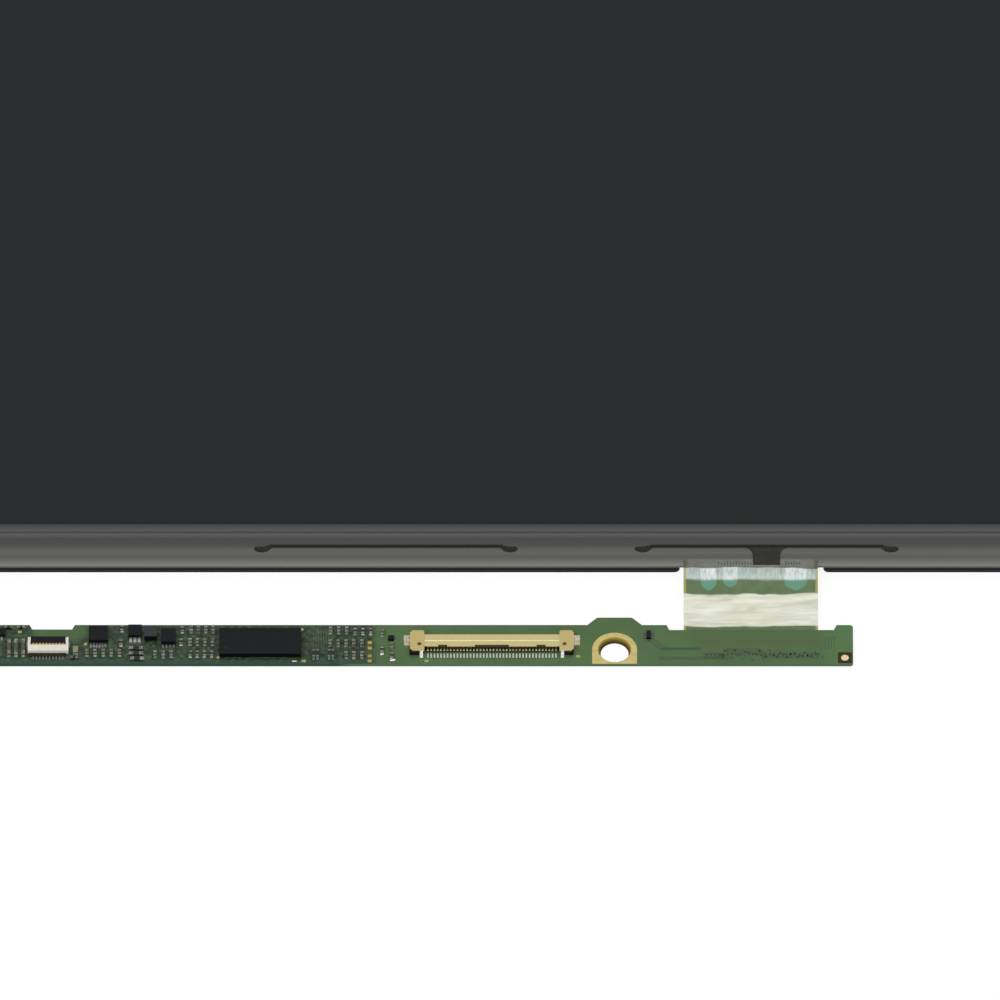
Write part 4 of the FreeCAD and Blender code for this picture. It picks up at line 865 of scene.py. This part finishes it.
# Capacitors, resistors and four-pole parts
# Fired ceramic bricks with dipped tin ends. Capacitors are brown right through; resistors and four-pole parts
# are white ceramic under a black glaze, which is smooth but not bright.
brown_ceramic = skin("fired_brown_ceramic", "#3b3931", "#2e2d27", grain=0.3, rough=0.5)
tan_ceramic = skin("fired_tan_ceramic", "#454033", "#373428", grain=0.4, rough=0.5)
black_glaze = skin("black_glaze", "#242824", "#1b1e1b", grain=0.3, rough=0.4, Specular_IOR_Level=0.2)
dark_glaze = skin("dark_glaze", "#242525", "#1c1d1d", grain=0.3, rough=0.45, Specular_IOR_Level=0.2)
dress("small_capacitors", brown_ceramic)
dress("bulk_capacitors", tan_ceramic)
dress("resistors", black_glaze)
dress("four_pole_parts", dark_glaze)

# Input fuse
# A brick of pale glass ceramic that holds a thin silver wire, soldered at both ends.
# The fired ceramic is matt and yellow-green.
dress("input_fuse", skin("pale_glass_ceramic", "#808859", "#70784e", grain=0.4, rough=0.5))

# Tin ends and solder
# The ends of each small part are dipped in tin, which wraps round five sides, and a fillet of solder climbs
# each end from its pad. The tin is mottled and dull, and greyer on the four-pole parts.
dip, pad_reach, pad_gauge, fillet_share = 0.012, 0.2, 0.02, 0.6
pad_side, pad_near, pad_far = 0.03, 0.15, 0.05
# Each node's share of its length that is dipped at each end, and how many terminals an end has
dipped_nodes = (("small_capacitors", 0.3, 1), ("bulk_capacitors", 0.25, 1), ("resistors", 0.28, 1),
                ("input_fuse", 0.15, 1), ("four_pole_parts", 0.2, 2))
tin_ends, pads, fillets, grey_ends = bmesh.new(), bmesh.new(), bmesh.new(), bmesh.new()


def slope_down(corners, axis, way, floor):
    """Turns a box into a wedge: its outer upper edge drops to the floor."""
    reach = max(way * corner.co[axis] for corner in corners)
    for corner in corners:
        if way * corner.co[axis] > reach - MICRON:
            corner.co.z = min(corner.co.z, floor)


def tin_terminal(caps, heaps, low, high, axis, way, wrap):
    """Wraps tin round one end of a part or of a stripe of it, and sets a fillet against it."""
    start, stop = Vector(low), Vector(high)
    outer = (high if way > 0 else low)[axis]
    start[axis], stop[axis] = sorted((outer, outer - way * wrap))
    box(caps, start - Vector((dip, dip, 0)), stop + Vector((dip, dip, dip)))
    start[axis], stop[axis] = sorted((outer + way * dip, outer + way * pad_reach))
    stop.z = low.z + fillet_share * (high.z - low.z)
    slope_down(box(heaps, start, stop), axis, way, (low.z + pad_gauge) * MM)


for node, share, terminals in dipped_nodes:
    caps, heaps = (grey_ends, grey_ends) if terminals > 1 else (tin_ends, fillets)
    for low, high in solids_of(node):
        axis = 0 if high.x - low.x > high.y - low.y else 1
        across = 1 - axis
        wrap = share * (high[axis] - low[axis])
        width = (high[across] - low[across]) / (1.5 * terminals - 0.5)
        for way in (-1, 1):
            for i in range(terminals):
                start, stop = Vector(low), Vector(high)
                start[across] = low[across] + i * 1.5 * width
                stop[across] = start[across] + width
                tin_terminal(caps, heaps, start, stop, axis, way, wrap)
for node in ("chip_leads", "ribbon_nails", "display_clips"):
    for low, high in solids_of(node):
        box(pads, (low.x - pad_side, low.y - pad_near, board_top),
            (high.x + pad_side, high.y + pad_far, board_top + pad_gauge))
dull_tin = skin("dipped_tin", "#8b8e80", "#55584e", grain=0.6, rough=0.4, relief=2.0, Metallic=1.0)
oxidised_tin = skin("oxidised_tin", "#69736b", "#4f5850", grain=0.4, rough=0.5, Metallic=0.3)
finish_piece("tin_ends", tin_ends, dull_tin)
finish_piece("four_pole_ends", grey_ends, oxidised_tin)
finish_piece("solder_fillets", fillets, dull_tin)
finish_piece("solder_pads", pads, dull_tin)

# Mended joints
# Heaps of solder left by an iron where a few joints were mended by hand.
# They cooled fast and are shinier than the rest.
heap_rise = 0.14
# Each heap's place along the board, its inset, and its reach along and across the board
mended_places = ((52.13, 1.95, 0.33, 0.22), (53.75, 0.78, 0.48, 0.26), (53.6, 1.25, 0.22, 0.2),
                 (5.55, 1.02, 0.22, 0.2), (38.8, 0.5, 0.45, 0.12))
mended = bmesh.new()
for x, inset, long, deep in mended_places:
    dome(mended, (x, near_edge + inset, board_top), (long, deep, heap_rise))
bright_solder = skin("bright_solder", "#d4d8d2", "#b9beb6", grain=0.3, rough=0.3, relief=2.0, Metallic=1.0)
finish_piece("mended_joints", mended, bright_solder, smooth=True)

# Table and studio
# A white photographer's table in a white room. Both look plain white to the camera and in reflections, while
# the table still takes the object's shadow.
table_half, table_drop, table_glow = 30, 0.02, 0.86


def looked_at(owner):
    """One where the camera, a gloss or a clear piece looks at it, nothing where it only gives light."""
    rays = add(owner, "LightPath")
    seen = add(owner, "Math", {0: rays["Is Camera Ray"], 1: rays["Is Glossy Ray"]},
               operation="MAXIMUM")[0]
    return add(owner, "Math", {0: seen, 1: rays["Is Transmission Ray"]}, operation="MAXIMUM")[0]


table = bpy.data.objects.new("table", bpy.data.meshes.new("table"))
form = bmesh.new()
under = Matrix.Translation((0, 0, -table_drop * MM))
bmesh.ops.create_grid(form, x_segments=1, y_segments=1, size=table_half, matrix=under)
form.to_mesh(table.data)
form.free()
bpy.context.scene.collection.objects.link(table)
white_table = blank("white_table")
seen = looked_at(white_table)
seen = add(white_table, "Math", {0: seen, 1: table_glow}, operation="MULTIPLY")[0]
lit = add(white_table, "BsdfDiffuse", {"Color": linear("#f9f9f9")})[0]
glow = add(white_table, "Emission", {"Color": linear("#ffffff"), "Strength": 1.02})[0]
white = add(white_table, "MixShader", {0: seen, 1: lit, 2: glow})[0]
add(white_table, "OutputMaterial", {"Surface": white})
table.data.materials.append(white_table)

studio = bpy.data.worlds.new("studio")
studio.use_nodes = True
studio.node_tree.nodes.clear()
fill = add(studio, "Background", {"Color": linear("#ffffff"), "Strength": 0.55})[0]
backdrop = add(studio, "Background", {"Color": linear("#ffffff"), "Strength": 1.0})[0]
sky = add(studio, "MixShader", {0: looked_at(studio), 1: fill, 2: backdrop})[0]
add(studio, "OutputWorld", {"Surface": sky})
bpy.context.scene.world = studio

# Studio lights
# Two soft boxes and a low strip of light, all aimed at the middle of the camera's view.
# Their places and widths are in metres and their power in watts.
view_middle = 70.1, glass_edge + 14.625
aim = Vector((*view_middle, 0)) * MM
studio_lamps = (("key_soft_box", (-0.7, -1.0, 1.4), 1.0, 15.0), ("far_soft_box", (0.9, 0.9, 1.5), 1.0, 6.0),
                ("near_strip", (0.0, -1.0, 0.8), 0.3, 0.8))
for name, place, width, watts in studio_lamps:
    lamp = bpy.data.objects.new(name, bpy.data.lights.new(name, "AREA"))
    lamp.data.size = width
    lamp.data.energy = watts
    lamp.location = place
    lamp.rotation_euler = (aim - Vector(place)).to_track_quat("-Z", "Y").to_euler()
    lamp.visible_camera = False
    bpy.context.scene.collection.objects.link(lamp)

# Camera
# It looks from far off, 49 degrees above the table, so that the panel shows with hardly any perspective.
# The width of its frame is measured where the sockets stand, most of the way from the aim to the near edge.
camera_rise, camera_distance, frame_width, socket_share = math.radians(49), 5.5, 152.44, 0.8
camera = bpy.data.objects.new("camera", bpy.data.cameras.new("camera"))
camera.data.sensor_width = 36
sockets_nearer = (aim.y - near_edge * MM) * math.cos(camera_rise) * socket_share
camera.data.lens = camera.data.sensor_width * (camera_distance - sockets_nearer) / (frame_width * MM)
camera.location = aim + camera_distance * Vector((0, -math.cos(camera_rise), math.sin(camera_rise)))
camera.rotation_euler = (math.pi / 2 - camera_rise, 0, 0)
bpy.context.scene.collection.objects.link(camera)
bpy.context.scene.camera = camera
bpy.context.scene.view_settings.view_transform = "Standard"
